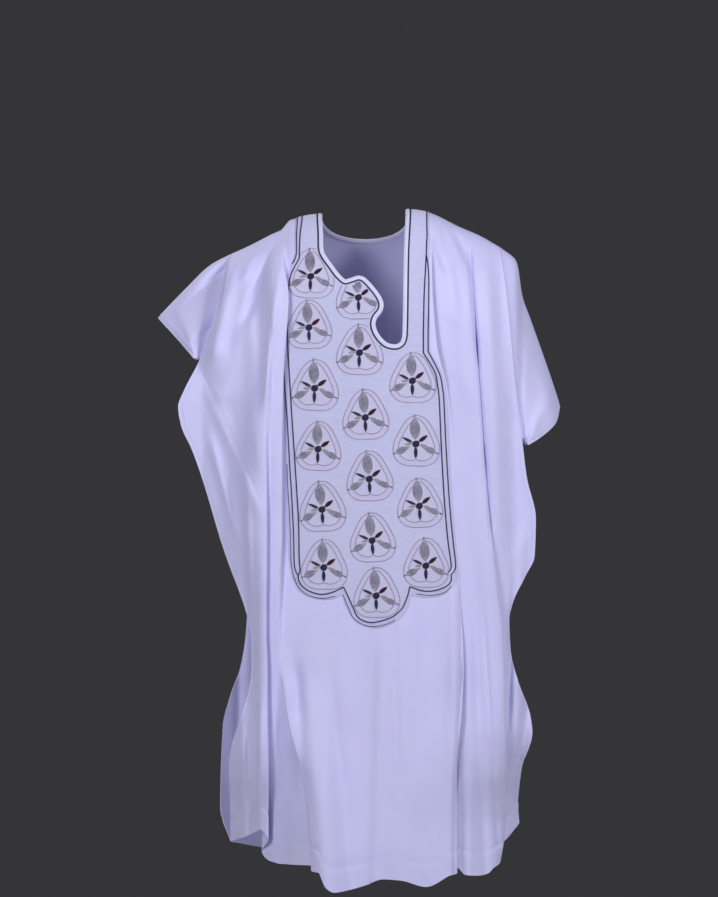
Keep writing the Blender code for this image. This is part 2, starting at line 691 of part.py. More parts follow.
# White binding round the front of the neck, and the dark piping between it and the panel
lanes = [offset_line(neck_line, PIPING_RADIUS + LAY_GAP + BINDING_WIDTH * 0.8 * k / 2)
         for k in (0, 2)]
kept = [i for i, place in enumerate(neck_line) if place.y < TRIM_TOP]
strip = []
for i in kept:
    strip.append([lay_on(body_tree, lane[i], TRIM_GAP + BINDING_WALL / 2) for lane in lanes])
neck_binding = cloth_piece("neck_binding", strip, binding_cloth, BINDING_WALL)


def cord(name, points, radius, material):
    """A thin cord along a line of points."""
    data = bpy.data.curves.new(name, "CURVE")
    data.dimensions = "3D"
    data.bevel_depth = radius * MM
    data.bevel_resolution = 1
    data.use_fill_caps = True
    spline = data.splines.new("POLY")
    spline.points.add(len(points) - 1)
    for slot, point in zip(spline.points, points):
        slot.co = (*(point * MM), 1.0)
    obj = bpy.data.objects.new(name, data)
    data.materials.append(material)
    parts.objects.link(obj)
    return obj


piping_places = [neck_line[i] for i in kept]
neck_piping = cord("neck_piping", on_front(piping_places, TRIM_GAP + PIPING_RADIUS),
                   PIPING_RADIUS * 0.9, dark_cord)
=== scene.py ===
# %% [markdown]
# # A grand boubou robe, worn and hollow
#
# The robe is one long sheet for the front and one for the back. Both hang from a ridge over
# the shoulders, and each is a rule: give it a column and a share of the way down, and it
# gives a point. Front is -Y, the wearer's right hand is at -X, and up is +Z. The packed
# solids are loaded first; every shape below is made on their form, only finer.

# %% Load the frame
import math

import bmesh
import bpy
import numpy as np
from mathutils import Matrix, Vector
from mathutils.bvhtree import BVHTree
from mathutils.kdtree import KDTree


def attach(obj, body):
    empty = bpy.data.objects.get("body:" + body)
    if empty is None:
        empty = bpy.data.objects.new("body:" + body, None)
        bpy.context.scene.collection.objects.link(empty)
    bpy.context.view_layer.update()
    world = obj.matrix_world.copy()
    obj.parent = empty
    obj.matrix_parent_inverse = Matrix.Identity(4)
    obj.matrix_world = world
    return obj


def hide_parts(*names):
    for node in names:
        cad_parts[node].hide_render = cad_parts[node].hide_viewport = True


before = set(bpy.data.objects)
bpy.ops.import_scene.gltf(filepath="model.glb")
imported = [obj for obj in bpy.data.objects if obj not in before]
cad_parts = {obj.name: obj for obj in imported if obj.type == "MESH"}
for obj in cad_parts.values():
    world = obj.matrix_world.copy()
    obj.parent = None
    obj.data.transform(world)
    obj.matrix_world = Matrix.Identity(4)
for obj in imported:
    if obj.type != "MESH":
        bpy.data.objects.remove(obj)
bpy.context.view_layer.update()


print("nodes:", sorted(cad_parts))

# %% [markdown]
# ## Sizes and tables
#
# Everything is in millimetres until the meshes are made. The tables say where the open edges,
# the laps and the hems run. Each row of a fold table is a height, the middle of the fold, how
# far it laps over, and how far each of its sides stands off the body.

# %% Sizes
MM = 0.001
CLOTH_WALL = 1.2
PANEL_WALL = 0.9
PANEL_LIFT = 1.2
FRONT_ROWS = 300
BACK_ROWS = 230
TOP_CROWDING = 1.25
ROUND_OVER = 190.0
REACH = 70.0
LEVEL_HEM = -1125.0
BODY_HALF = 285.0
CLOSE_TOP = -930.0
CLOSE_RUN = 110.0
LIFT_RUN = 80.0
LAP_START = 30.0
LAP_RUN = 125.0
LAP_PER_LIFT = 0.42
SEAM_AT = 0.62
SHOULDER_GAP = 0.45
SLEEVE_GAP = 0.5
HEM_BAND = 42.0
CREASE_DEPTH = 1.8
SIDE_BAND = 8.0
BINDING_WIDTH = 7.5
# Doubled hems: width, rise, run of the rise, dip along the stitches, half width of the dip
FOOT_HEM = (HEM_BAND, 0.7, 4.0, 0.9, 3.4)
SLEEVE_HEM = (SIDE_BAND, 0.6, 3.0, 0.5, 2.5)
RIDGE_FADE = 36.0
LOW_FOLD = -1040.0
EDGE_CLOSE_TOP = -960.0
EDGE_CLOSE_RUN = 40.0
SLEEVE_COLUMNS = 44
CREASE_REACH = 80.0
CUT_NEAR = -300
CUT_FAR = 30
PANEL_FOOT = -800
SHARP_ANGLE = math.radians(55)
STITCH_LIFT = 0.15
CORD_LIFT = 0.3
FLOWER_LIFT = 0.25

# The ridge over the shoulders: distance across, height
RIDGE = [
    (-236, -72), (-205, -58), (-164, -37), (-147, -29), (-131, -12), (-84, -2),
    (0, 2), (79, 6), (110, 2), (124, -3), (164, -23), (203, -40), (238, -60),
]

# How far the cloth stands from the middle plane: height, middle, edge
FRONT_DEPTH = [
    (0, 112, 20), (-80, 118, 48), (-200, 130, 70), (-350, 140, 84), (-600, 148, 80),
    (-750, 154, 72), (-900, 161, 74), (-980, 167, 44), (-1040, 171, 11), (-1072, 173, 0.8),
    (-1120, 176, 0.8),
]
BACK_DEPTH = [
    (0, 108, 20), (-80, 120, 48), (-200, 140, 72), (-350, 144, 86), (-600, 148, 84),
    (-750, 152, 74), (-900, 158, 76), (-980, 163, 44), (-1040, 167, 11), (-1072, 169, 0.8),
    (-1120, 172, 0.8),
]

# Open edges of the wings: height, distance across
FRONT_EDGE_RIGHT = [
    (-72, -236), (-154, -250), (-233, -280), (-262, -291), (-313, -317), (-341, -327),
    (-373, -322), (-416, -303), (-472, -283), (-581, -250), (-675, -217), (-714, -205),
    (-751, -198), (-801, -198), (-875, -213), (-927, -231), (-968, -238), (-1106, -236),
]
FRONT_EDGE_LEFT = [
    (-60, 238), (-163, 250), (-296, 262), (-409, 276), (-464, 283), (-537, 299),
    (-602, 297), (-640, 279), (-688, 257), (-712, 252), (-761, 254), (-819, 267),
    (-884, 290), (-912, 293), (-978, 274), (-1043, 269), (-1074, 271),
]
BACK_EDGE_RIGHT = [
    (-72, -236), (-154, -248), (-262, -278), (-341, -304), (-400, -298), (-480, -268),
    (-580, -238), (-675, -208), (-749, -212), (-800, -220), (-856, -240), (-906, -252),
    (-992, -255), (-1045, -255), (-1106, -236),
]
BACK_EDGE_LEFT = [
    (-60, 238), (-163, 248), (-296, 260), (-409, 272), (-537, 288), (-602, 284),
    (-660, 262), (-712, 242), (-761, 242), (-819, 258), (-884, 281), (-925, 286),
    (-978, 268), (-1043, 265), (-1074, 271),
]

# Lapped folds: height, middle of the fold, lap, lift of the -X side, lift of the +X side
WING_PLEAT_RIGHT = [
    (-40, -170, 0, 14, 16), (-200, -166, 1, 14, 16), (-330, -168, 3, 16, 15),
    (-420, -172, 5, 21, 14), (-560, -174, 6, 30, 15), (-620, -174, 6, 30, 15),
    (-680, -175, 6, 27, 12), (-740, -175, 6, 24, 8), (-790, -174, 7, 20, 3),
    (-840, -174, 7, 19, 0), (-960, -174, 9, 24, 0), (-1095, -175, 9, 28, 0),
]
DRAPE_EDGE_RIGHT = [
    (-20, -143, 7, 16, 0), (-90, -141, 7, 17, 0), (-154, -137, 7, 18, 0),
    (-290, -146, 7, 17, 0), (-420, -148, 7, 16, 0), (-560, -148, 7, 16, 0),
    (-620, -148, 4, 15, 0), (-680, -148, 2, 12, 0), (-740, -148, 0.7, 8, 0), (-790, -147, 0, 3, 2),
    (-840, -141, 2.5, 0, 8), (-890, -132, 5, 0, 13), (-930, -120, 7, 0, 17),
    (-968, -108, 11, 0, 20), (-1022, -97, 11, 0, 22), (-1140, -86, 11, 0, 24),
]
DRAPE_EDGE_LEFT = [
    (0, 119, 5, 0, 9), (-70, 119, 5, 0, 9), (-119, 122, 5, 0, 9), (-222, 132, 5, 0, 9),
    (-300, 146, 3, 0, 5), (-420, 155, 0, 0, 1), (-618, 166, 0, 2, 0), (-700, 168, 3, 8, 0),
    (-779, 169, 6, 13, 0), (-865, 165, 7, 16, 0), (-976, 155, 8, 19, 0), (-1160, 155, 8, 20, 0),
]
DEEP_CREASE_LEFT = [
    (-35, 182, 0, 6, 5), (-103, 190, 0, 10, 8), (-177, 192, 0, 14, 10),
    (-240, 196, 0, 12, 9), (-310, 202, 0, 9, 7), (-434, 209, 1, 7, 4), (-542, 218, 5, 9, 1),
    (-668, 230, 8, 14, 0), (-723, 236, 8, 17, 0), (-912, 240, 9, 22, 0),
    (-1060, 240, 9, 22, 0), (-1150, 226, 9, 22, 0),
]
BACK_PLEAT_RIGHT = [
    (-20, -130, 0, 12, 0), (-120, -134, 4, 18, 0), (-240, -140, 8, 20, 0), (-400, -146, 8, 20, 0),
    (-800, -150, 8, 20, 0), (-1140, -152, 9, 24, 0),
]
BACK_PLEAT_LEFT = [
    (-8, 122, 0, 0, 12), (-120, 130, 4, 0, 18), (-240, 140, 8, 0, 20), (-400, 148, 8, 0, 20),
    (-800, 156, 8, 0, 20), (-1140, 162, 9, 0, 24),
]

# Hems: share of the stretch between two folds, height
HEM_FRONT_WING_RIGHT = [(0.0, -1106), (0.5, -1094), (1.0, -1079)]
HEM_FRONT_PLEAT_RIGHT = [(0.0, -1134), (0.3, -1139), (1.0, -1139)]
HEM_FRONT_MIDDLE = [
    (0.0, -1150), (0.05, -1176), (0.11, -1184), (0.22, -1181), (0.36, -1172),
    (0.48, -1162), (0.62, -1164), (0.82, -1176), (1.0, -1157),
]
HEM_FRONT_DRAPE_LEFT = [(0.0, -1146), (0.2, -1158), (0.6, -1160), (0.85, -1157), (1.0, -1148)]
HEM_FRONT_WING_LEFT = [(0.0, -1110), (0.4, -1098), (1.0, -1074)]
HEM_BACK_WING_RIGHT = [(0.0, -1106), (1.0, -1128)]
HEM_BACK_MIDDLE = [(0.0, -1140), (0.3, -1152), (0.7, -1150), (1.0, -1138)]
HEM_BACK_WING_LEFT = [(0.0, -1126), (1.0, -1074)]

# Soft folds: top x, top z, low x, low z, depth (out is positive), half width
FRONT_SOFT = [
    (-158, -30, -176, -420, 7, 15), (-180, -60, -196, -330, -6, 20),
    (-205, -75, -236, -300, 5, 20),
    (-262, -330, -188, -520, 5, 16), (-226, -420, -204, -700, -6, 20),
    (-196, -620, -190, -1060, -6, 18), (-212, -840, -216, -1090, 9, 20),
    (-122, -780, -108, -1010, -8, 16), (-84, -860, -62, -1180, 7, 24),
    (-10, -700, -4, -1170, -5, 40), (60, -640, 72, -1170, 6, 36),
    (118, -620, 122, -1170, -6, 26), (140, -40, 158, -170, -6, 14),
    (160, -60, 176, -330, 4, 20), (190, -640, 206, -1150, -6, 14),
    (186, -700, 182, -1150, 6, 14), (214, -100, 232, -560, 7, 18),
    (258, -300, 268, -640, -7, 18), (276, -560, 262, -700, 6, 15),
    (262, -800, 268, -960, 8, 22),
]
BACK_SOFT = [
    (-176, -60, -196, -560, 9, 20), (-210, -90, -240, -480, -8, 18),
    (-196, -520, -200, -1110, -8, 22), (-176, -700, -170, -1130, 8, 18),
    (-70, -420, -84, -1140, 7, 34), (-10, -380, -6, -1150, -8, 36),
    (58, -440, 70, -1150, 8, 34), (120, -620, 124, -1140, -6, 22),
    (168, -50, 190, -540, 9, 20), (204, -90, 236, -520, -8, 18),
    (196, -560, 204, -1110, -8, 22), (238, -820, 240, -1060, 8, 22),
]

# The neck opening's piping line, from the right strap down, round and up: across, height
NECK_LINE = [
    (-85, 40), (-84, -2), (-82, -36), (-81, -66), (-76, -80), (-62, -100), (-50, -116), (-36, -127),
    (-22, -124), (-8, -121), (8, -136), (22, -156), (23, -170), (13, -184), (10, -200),
    (17, -219), (33, -236), (51, -241), (64, -237), (72, -224), (74, -191), (76, -76),
    (80, 0), (80, 40),
]
BACK_NECK_DROP = 48.0
BACK_NECK_HALF = 77.0

# The embroidered panel's outline, from its right strap down, round and up: across, height
PANEL_LINE = [
    (-121, 40), (-121, -76), (-127, -90), (-137, -120), (-142, -160), (-145, -224), (-140, -329),
    (-135, -504), (-133, -592), (-127, -628), (-113, -656), (-96, -671), (-74, -677),
    (-50, -674), (-40, -668), (-36, -680), (-28, -698), (-12, -717), (16, -726), (42, -721),
    (62, -708), (74, -692), (80, -670), (92, -672), (115, -673), (138, -668), (154, -652),
    (160, -634), (160, -600), (152, -504), (147, -415), (143, -329), (135, -284), (115, -248),
    (113, -228), (112, -60), (112, 40),
]

# Turned-up sleeves: the ridge and the open edge as share, across, height; the height of the
# seam's foot; how far the edge spreads; the hollow's depth and shape; and creases as place
# across, slant, height, half width
SLEEVE_RIGHT = {
    "ridge": [(0.0, -238, -73), (0.3, -272, -91), (0.65, -320, -137), (1.0, -365, -184)],
    "edge": [(0.0, -365, -184), (0.5, -330, -222), (1.0, -300, -256)],
    "foot": -256.0,
    "spread": 44.0,
    "dip": 38.0,
    "belly": 0.28,
    "creases": [(0.45, 0.10, 1.5, 0.16), (0.78, -0.1, 1.0, 0.14)],
}
SLEEVE_LEFT = {
    "ridge": [(0.0, 240, -61), (0.12, 268, -86), (0.3, 278, -146), (0.45, 293, -189),
              (0.75, 326, -284), (1.0, 344, -340)],
    "edge": [(0.0, 344, -340), (0.25, 337, -366), (0.6, 310, -393), (1.0, 286, -408)],
    "foot": -398.0,
    "spread": 78.0,
    "dip": 9.0,
    "belly": 0.8,
    "creases": [(0.35, 0.12, 1.5, 0.12), (0.62, 0.10, -1.5, 0.12), (0.84, 0.0, 1.5, 0.09)],
}

# Finer creases for the looks alone: top x, top z, low x, low z, depth, half width
FRONT_CREASES = [
    (-290, -266, -191, -487, -1.5, 3), (-150, -34, -208, -185, -6, 12),
    (-163, -196, -163, -304, -2, 6),
    (-150, -110, -173, -329, 3.6, 9), (-194, -70, -212, -119, 3, 11),
    (-226, -82, -266, -262, 9, 20), (-250, -240, -252, -330, 3, 24),
    (-196, -190, -190, -430, 3.5, 17), (-120, -800, -114, -880, -2, 12),
    (-268, -400, -226, -560, 3, 8), (-206, -480, -196, -760, 3, 8),
    (-180, -860, -184, -1090, 4, 8), (-204, -900, -202, -1080, -4, 7),
    (-150, -900, -140, -1120, -4, 10), (-60, -800, -30, -1120, -2.5, 13),
    (157, -30, 184, -90, -4, 11), (116, -36, 140, -101, -3, 10), (184, -70, 196, -250, -6, 5),
    (195, -230, 210, -440, -4, 4), (209, -420, 219, -560, -3, 4),
    (166, -640, 168, -830, -2.5, 4), (167, -800, 158, -1000, -3, 4), (157, -970, 155, -1150, -3, 4),
    (152, -650, 155, -860, 2, 9), (208, -712, 228, -1043, -2.5, 5),
    (262, -640, 250, -880, -5, 9), (282, -860, 258, -1040, -4, 8),
    (30, -760, 20, -1100, 2.5, 14), (52, -720, 58, -960, -1.2, 5),
    (136, -760, 138, -1130, -1.5, 12), (196, -900, 200, -1120, 2, 10),
]
BACK_CREASES = [
    (-150, -90, -170, -420, -4, 9), (-40, -500, -30, -1100, -3, 12),
    (30, -650, 44, -1120, 3, 12), (-120, -700, -126, -1120, -4, 10),
    (150, -80, 172, -380, -4, 9), (100, -500, 112, -1100, 3, 12),
    (216, -150, 250, -520, -5, 9), (-226, -150, -250, -430, -5, 9),
    (-20, -120, -60, -420, 3, 16), (24, -120, 70, -420, 3, 16),
    (-222, -640, -226, -1040, 5, 9), (226, -700, 236, -1030, 4, 9),
    (-90, -560, -96, -900, -3, 9), (76, -700, 82, -1120, -4, 9),
]

# %% [markdown]
# ## The rule for the cloth
#
# The maths works on whole rows of numbers at once with numpy. `smooth_value` reads a table on
# a smooth curve, and `Sheet.column` gives all the points down one column of the cloth.

# %% Curves and the sheet rule
def smooth_value(rows, at, column=1):
    """Reads a table's column at many keys, on a smooth curve through the rows."""
    keys = np.array([row[0] for row in rows], float)
    values = np.array([row[column] for row in rows], float)
    if keys[0] > keys[-1]:
        keys = keys[::-1]
        values = values[::-1]
    at = np.clip(at, keys[0], keys[-1])
    slopes = np.diff(values) / np.diff(keys)
    tangents = np.concatenate([slopes[:1], np.zeros(len(keys) - 2), slopes[-1:]])
    for k in range(1, len(keys) - 1):
        before, after = slopes[k - 1], slopes[k]
        if before * after > 0:
            tangents[k] = 2 * before * after / (before + after)
    i = np.clip(np.searchsorted(keys, at, side="right") - 1, 0, len(keys) - 2)
    span = keys[i + 1] - keys[i]
    f = (at - keys[i]) / span
    start = (2 * f**3 - 3 * f**2 + 1) * values[i] + (f**3 - 2 * f**2 + f) * tangents[i] * span
    end = (3 * f**2 - 2 * f**3) * values[i + 1] + (f**3 - f**2) * tangents[i + 1] * span
    return start + end


def ease(value):
    """Rises smoothly from 0 to 1."""
    value = np.clip(value, 0.0, 1.0)
    return value * value * (3 - 2 * value)


class Sheet:
    """One hanging side of the robe, as a rule from (column, share of the way down) to a point."""

    def __init__(self, side, depth, edges, folds, hems, soft):
        self.side = side
        self.depth = depth
        self.edges = edges
        self.folds = folds
        self.hems = hems
        self.soft = soft

    def height(self, top, hem, t):
        """Height at share t: level rows above, that part to their own hems low down."""
        return top + (LEVEL_HEM - top) * t + (hem - LEVEL_HEM) * t**6

    def edge(self, which, t):
        """Distance across of an open edge."""
        rows = self.edges[which]
        return smooth_value(rows, self.height(rows[0][0], rows[-1][0], t))

    def fold_at(self, i, t):
        """Middle, lap and lifts of fold i."""
        rows = self.folds[i]["rows"]
        hem = 0.5 * (self.hems[i][-1][1] + self.hems[i + 1][0][1])
        ridge = smooth_value(RIDGE, rows[0][1])
        z = self.height(ridge, hem, t)
        middle, lap, lift_0, lift_1 = [smooth_value(rows, z, k) for k in (1, 2, 3, 4)]
        drop = (ridge - hem) * t
        rise = ease(drop / LIFT_RUN)
        lap = np.minimum(lap, LAP_PER_LIFT * np.abs(lift_0 - lift_1))
        return middle, lap * ease((drop - LAP_START) / LAP_RUN), lift_0 * rise, lift_1 * rise

    def base_depth(self, x, z, half_left, half_right):
        """Distance of the plain hanging cloth from the middle plane."""
        drop = np.maximum(smooth_value(RIDGE, x) - z, 0.0)
        middle = smooth_value(self.depth, z, 1)
        edge = smooth_value(self.depth, z, 2)
        follow = ease((CLOSE_TOP - z) / CLOSE_RUN)
        half = np.where(x < 0, half_left, half_right)
        share = np.minimum(np.abs(x) / (BODY_HALF + (half - BODY_HALF) * follow), 1.0)
        full = edge + (middle - edge) * (1 - share**2.3)
        q = np.minimum(drop / ROUND_OVER, 1.0)
        return full * np.sqrt(1 - (1 - q) ** 2)

    def soft_depth(self, x, z):
        """Sum of the soft folds."""
        total = np.zeros_like(x)
        for top_x, top_z, low_x, low_z, height, half in self.soft:
            along = (top_z - z) / (top_z - low_z)
            off = (x - top_x - (low_x - top_x) * along) / half
            fade = ease((along + 0.2) / 0.4) * (along < 1.2)
            if low_z >= LOW_FOLD:
                fade = fade * ease((1.2 - along) / 0.35)
            total += height * fade * np.exp(-1.6 * off * off) * ease(2.0 - np.abs(off))
        return total

    def column(self, kind, i, f, t):
        """Points in millimetres of one column, for all the shares t."""
        edge_0, edge_1 = self.edge(0, t), self.edge(1, t)
        if kind == "fold":
            middle, lap, lift_0, lift_1 = self.fold_at(i, t)
            x = middle + self.folds[i]["half"] * f - lap * math.sin(math.pi * f)
            share = 0.5 * (1 - math.sin(0.5 * math.pi * f))
            lift = lift_0 * share + lift_1 * (1 - share)
            before, after = self.hems[i][-1][1], self.hems[i + 1][0][1]
            hem = before + (after - before) * 0.5 * (f + 1)
        else:
            start, lift_start = edge_0, 0.0
            end, lift_end = edge_1, 0.0
            if i > 0:
                middle, lap, lift_0, lift_1 = self.fold_at(i - 1, t)
                start, lift_start = middle + self.folds[i - 1]["half"], lift_1
            if i < len(self.folds):
                middle, lap, lift_0, lift_1 = self.fold_at(i, t)
                end, lift_end = middle - self.folds[i]["half"], lift_0
            width = end - start
            x = start + width * f
            reach = np.minimum(REACH, width)
            from_start = np.minimum((x - start) / reach, 1.0)
            from_end = np.minimum((end - x) / reach, 1.0)
            lift = lift_start * np.cos(0.5 * np.pi * from_start) ** 2
            lift = lift + lift_end * np.cos(0.5 * np.pi * from_end) ** 2
            hem = float(smooth_value(self.hems[i], f))
        top = smooth_value(RIDGE, x)
        z = self.height(top, hem, t)
        depth = self.base_depth(x, z, -edge_0, edge_1)
        fade = ease((top - z) / RIDGE_FADE)
        to_edge = np.minimum(x - edge_0, edge_1 - x)
        closing = np.where(z < EDGE_CLOSE_TOP, ease(to_edge / EDGE_CLOSE_RUN), 1.0)
        depth = depth + fade * closing * self.soft_depth(x, z) + lift
        return np.stack([x, self.side * (depth + SHOULDER_GAP), z], axis=-1)

    def grid(self, columns, t):
        """Rows of points over a list of columns."""
        return np.stack([self.column(*column, t) for column in columns], axis=1)


def deeper(creases):
    """The same creases, all deepened by one share."""
    return [(*row[:4], row[4] * CREASE_DEPTH, row[5]) for row in creases]


front = Sheet(
    -1, FRONT_DEPTH, (FRONT_EDGE_RIGHT, FRONT_EDGE_LEFT),
    [
        {"rows": WING_PLEAT_RIGHT, "half": 7.0}, {"rows": DRAPE_EDGE_RIGHT, "half": 7.0},
        {"rows": DRAPE_EDGE_LEFT, "half": 8.0}, {"rows": DEEP_CREASE_LEFT, "half": 6.0},
    ],
    [
        HEM_FRONT_WING_RIGHT, HEM_FRONT_PLEAT_RIGHT, HEM_FRONT_MIDDLE,
        HEM_FRONT_DRAPE_LEFT, HEM_FRONT_WING_LEFT,
    ],
    FRONT_SOFT + deeper(FRONT_CREASES),
)
back = Sheet(
    1, BACK_DEPTH, (BACK_EDGE_RIGHT, BACK_EDGE_LEFT),
    [{"rows": BACK_PLEAT_RIGHT, "half": 9.0}, {"rows": BACK_PLEAT_LEFT, "half": 9.0}],
    [HEM_BACK_WING_RIGHT, HEM_BACK_MIDDLE, HEM_BACK_WING_LEFT],
    BACK_SOFT + deeper(BACK_CREASES),
)


def plain_columns(i, count):
    """Columns of a plain stretch, without those that its folds share with it."""
    return [("plain", i, k / count) for k in range(1, count)]


def fold_columns(i, seam=None):
    """Columns over a lapped fold, one of them on the seam that it hides."""
    even = [round(float(f), 4) for f in np.linspace(-1, 1, 17)]
    turns = sorted(set(even + ([seam] if seam else [])))
    return [("fold", i, f) for f in turns]


def row_shares(count):
    """Shares of the way down, closer together over the shoulder."""
    return (np.arange(count + 1) / count) ** TOP_CROWDING


front_columns = [("plain", 0, 0.0)] + plain_columns(0, 30) + fold_columns(0) + plain_columns(1, 8)
front_columns += fold_columns(1, SEAM_AT) + plain_columns(2, 74) + fold_columns(2, -SEAM_AT)
front_columns += plain_columns(3, 20) + fold_columns(3) + plain_columns(4, 24) + [("plain", 4, 1.0)]
back_columns = [("plain", 0, 0.0)] + plain_columns(0, 22) + fold_columns(0, SEAM_AT)
back_columns += plain_columns(1, 56) + fold_columns(1, -SEAM_AT) + plain_columns(2, 24)
back_columns += [("plain", 2, 1.0)]
front_grid = front.grid(front_columns, row_shares(FRONT_ROWS))
back_grid = back.grid(back_columns, row_shares(BACK_ROWS))
print("front points:", front_grid.shape[:2], "back points:", back_grid.shape[:2])

# %% [markdown]
# ## From a grid to a closed wall of cloth
#
# Each grid point gets the way out of the cloth from its neighbours. The wall is the grid moved
# out and in by half its thickness and joined round the rim. Its UV map is the flat cut in
# metres: how far across and how far down the cloth, measured along it. Near a hem and beside
# an open edge the cloth is doubled, so it stands out a little and dips along its stitching.

# %% Walls, ways out and UV maps
def ways_out(grid, side):
    """Unit vectors out of the cloth at every point of a grid."""
    across = np.gradient(grid, axis=1)
    down = np.gradient(grid, axis=0)
    out = np.cross(across, down) * side
    return out / np.maximum(np.linalg.norm(out, axis=2, keepdims=True), 1e-9)


def lengths(grid, axis):
    """Distance along the cloth from the first row or column, in millimetres."""
    steps = np.linalg.norm(np.diff(grid, axis=axis), axis=2)
    zero = np.zeros_like(np.take(steps, [0], axis=axis))
    return np.cumsum(np.concatenate([zero, steps], axis=axis), axis=axis)


def to_last(grid, axis):
    """Distance along the cloth to the last row or column, in millimetres."""
    far = lengths(grid, axis)
    return np.take(far, [-1], axis=axis) - far


def hem_relief(from_rim, band, rise, run, dip, width):
    """How far a doubled hem stands out, and how far the cloth dips along its stitches."""
    return rise * ease((band - from_rim) / run) - dip * np.exp(-((from_rim - band) / width) ** 2)


def read_all(items, label, kind=float, width=1):
    """One property of all the points, corners or faces of a mesh, as an array."""
    values = np.zeros(len(items) * width, kind)
    items.foreach_get(label, values)
    return values.reshape(-1, width) if width > 1 else values


def add_uv(mesh, name, places):
    """Adds a UV map from a place in metres for each face corner."""
    mesh.uv_layers.new(name=name).data.foreach_set("uv", places.astype(np.float32).ravel())


def link(obj):
    """Puts an object in the scene."""
    bpy.context.scene.collection.objects.link(obj)
    return obj


def turn_outward(mesh):
    """Turns every face of a closed mesh outwards."""
    tool = bmesh.new()
    tool.from_mesh(mesh)
    bmesh.ops.recalc_face_normals(tool, faces=tool.faces)
    tool.to_mesh(mesh)
    tool.free()


def grid_faces(high, wide):
    """The numbers of a grid's points, and its faces."""
    index = np.arange(high * wide).reshape(high, wide)
    quads = np.stack([index[:-1, :-1], index[:-1, 1:], index[1:, 1:], index[1:, :-1]], axis=-1)
    return index, quads.reshape(-1, 4)


def walled(name, grid, out, flat, wall, lift, material):
    """Makes a closed wall of cloth from grids of points, ways out and flat places."""
    high, wide = grid.shape[:2]
    layer = high * wide
    sides = [(grid + out * (lift + half)).reshape(-1, 3) for half in (wall / 2, -wall / 2)]
    points = np.concatenate(sides) * MM
    index, quads = grid_faces(high, wide)
    rim = np.concatenate([index[0], index[1:, -1], index[-1, -2::-1], index[-2:0:-1, 0]])
    turned = np.roll(rim, -1)
    band = np.stack([rim, rim + layer, turned + layer, turned], axis=-1)
    faces = np.concatenate([quads, quads[:, ::-1] + layer, band])
    mesh = bpy.data.meshes.new(name)
    mesh.from_pydata(points.tolist(), [], faces.tolist())
    turn_outward(mesh)
    corner = read_all(mesh.loops, "vertex_index", np.int32)
    add_uv(mesh, "cut", np.tile(flat.reshape(-1, 2) * MM, (2, 1))[corner])
    mesh.materials.append(material)
    mesh.shade_smooth()
    mesh.set_sharp_from_angle(angle=SHARP_ANGLE)
    return link(bpy.data.objects.new(name, mesh))


def flat_places(grid):
    """Distance across and down the cloth at every grid point."""
    across = lengths(grid, 1)
    down = lengths(grid, 0)
    return np.stack([across, -down], axis=-1)


def triangles(obj):
    """Number of triangles of a mesh object."""
    obj.data.calc_loop_triangles()
    return len(obj.data.loop_triangles)

# %% [markdown]
# ## Materials
#
# Shader maths is written as ordinary sums: `Value` wraps a socket, so that two sockets can be
# added or multiplied with the usual signs. `Shader.node` makes every other node.

# %% A small shader language
class Value:
    """A number socket that can stand in sums."""

    def __init__(self, shader, socket):
        self.shader = shader
        self.socket = socket

    def maths(self, operation, *others):
        """A Math node with this socket first."""
        node = self.shader.tree.nodes.new("ShaderNodeMath")
        node.operation = operation
        for place, value in enumerate((self, *others)):
            self.shader.fill(node.inputs[place], value)
        return Value(self.shader, node.outputs[0])

    def __add__(self, other):
        return self.maths("ADD", other)

    def __sub__(self, other):
        return self.maths("SUBTRACT", other)

    def __mul__(self, other):
        return self.maths("MULTIPLY", other)

    def __truediv__(self, other):
        return self.maths("DIVIDE", other)

    def __rsub__(self, other):
        return (self * -1.0) + other

    __radd__ = __add__
    __rmul__ = __mul__

    def sin(self):
        return self.maths("SINE")

    def between(self, low, high, soft):
        """1 between two values and 0 outside, with soft ends."""
        rise = ((self - low) / soft + 0.5).maths("MINIMUM", 1.0).maths("MAXIMUM", 0.0)
        fall = ((high - self) / soft + 0.5).maths("MINIMUM", 1.0).maths("MAXIMUM", 0.0)
        return rise * fall


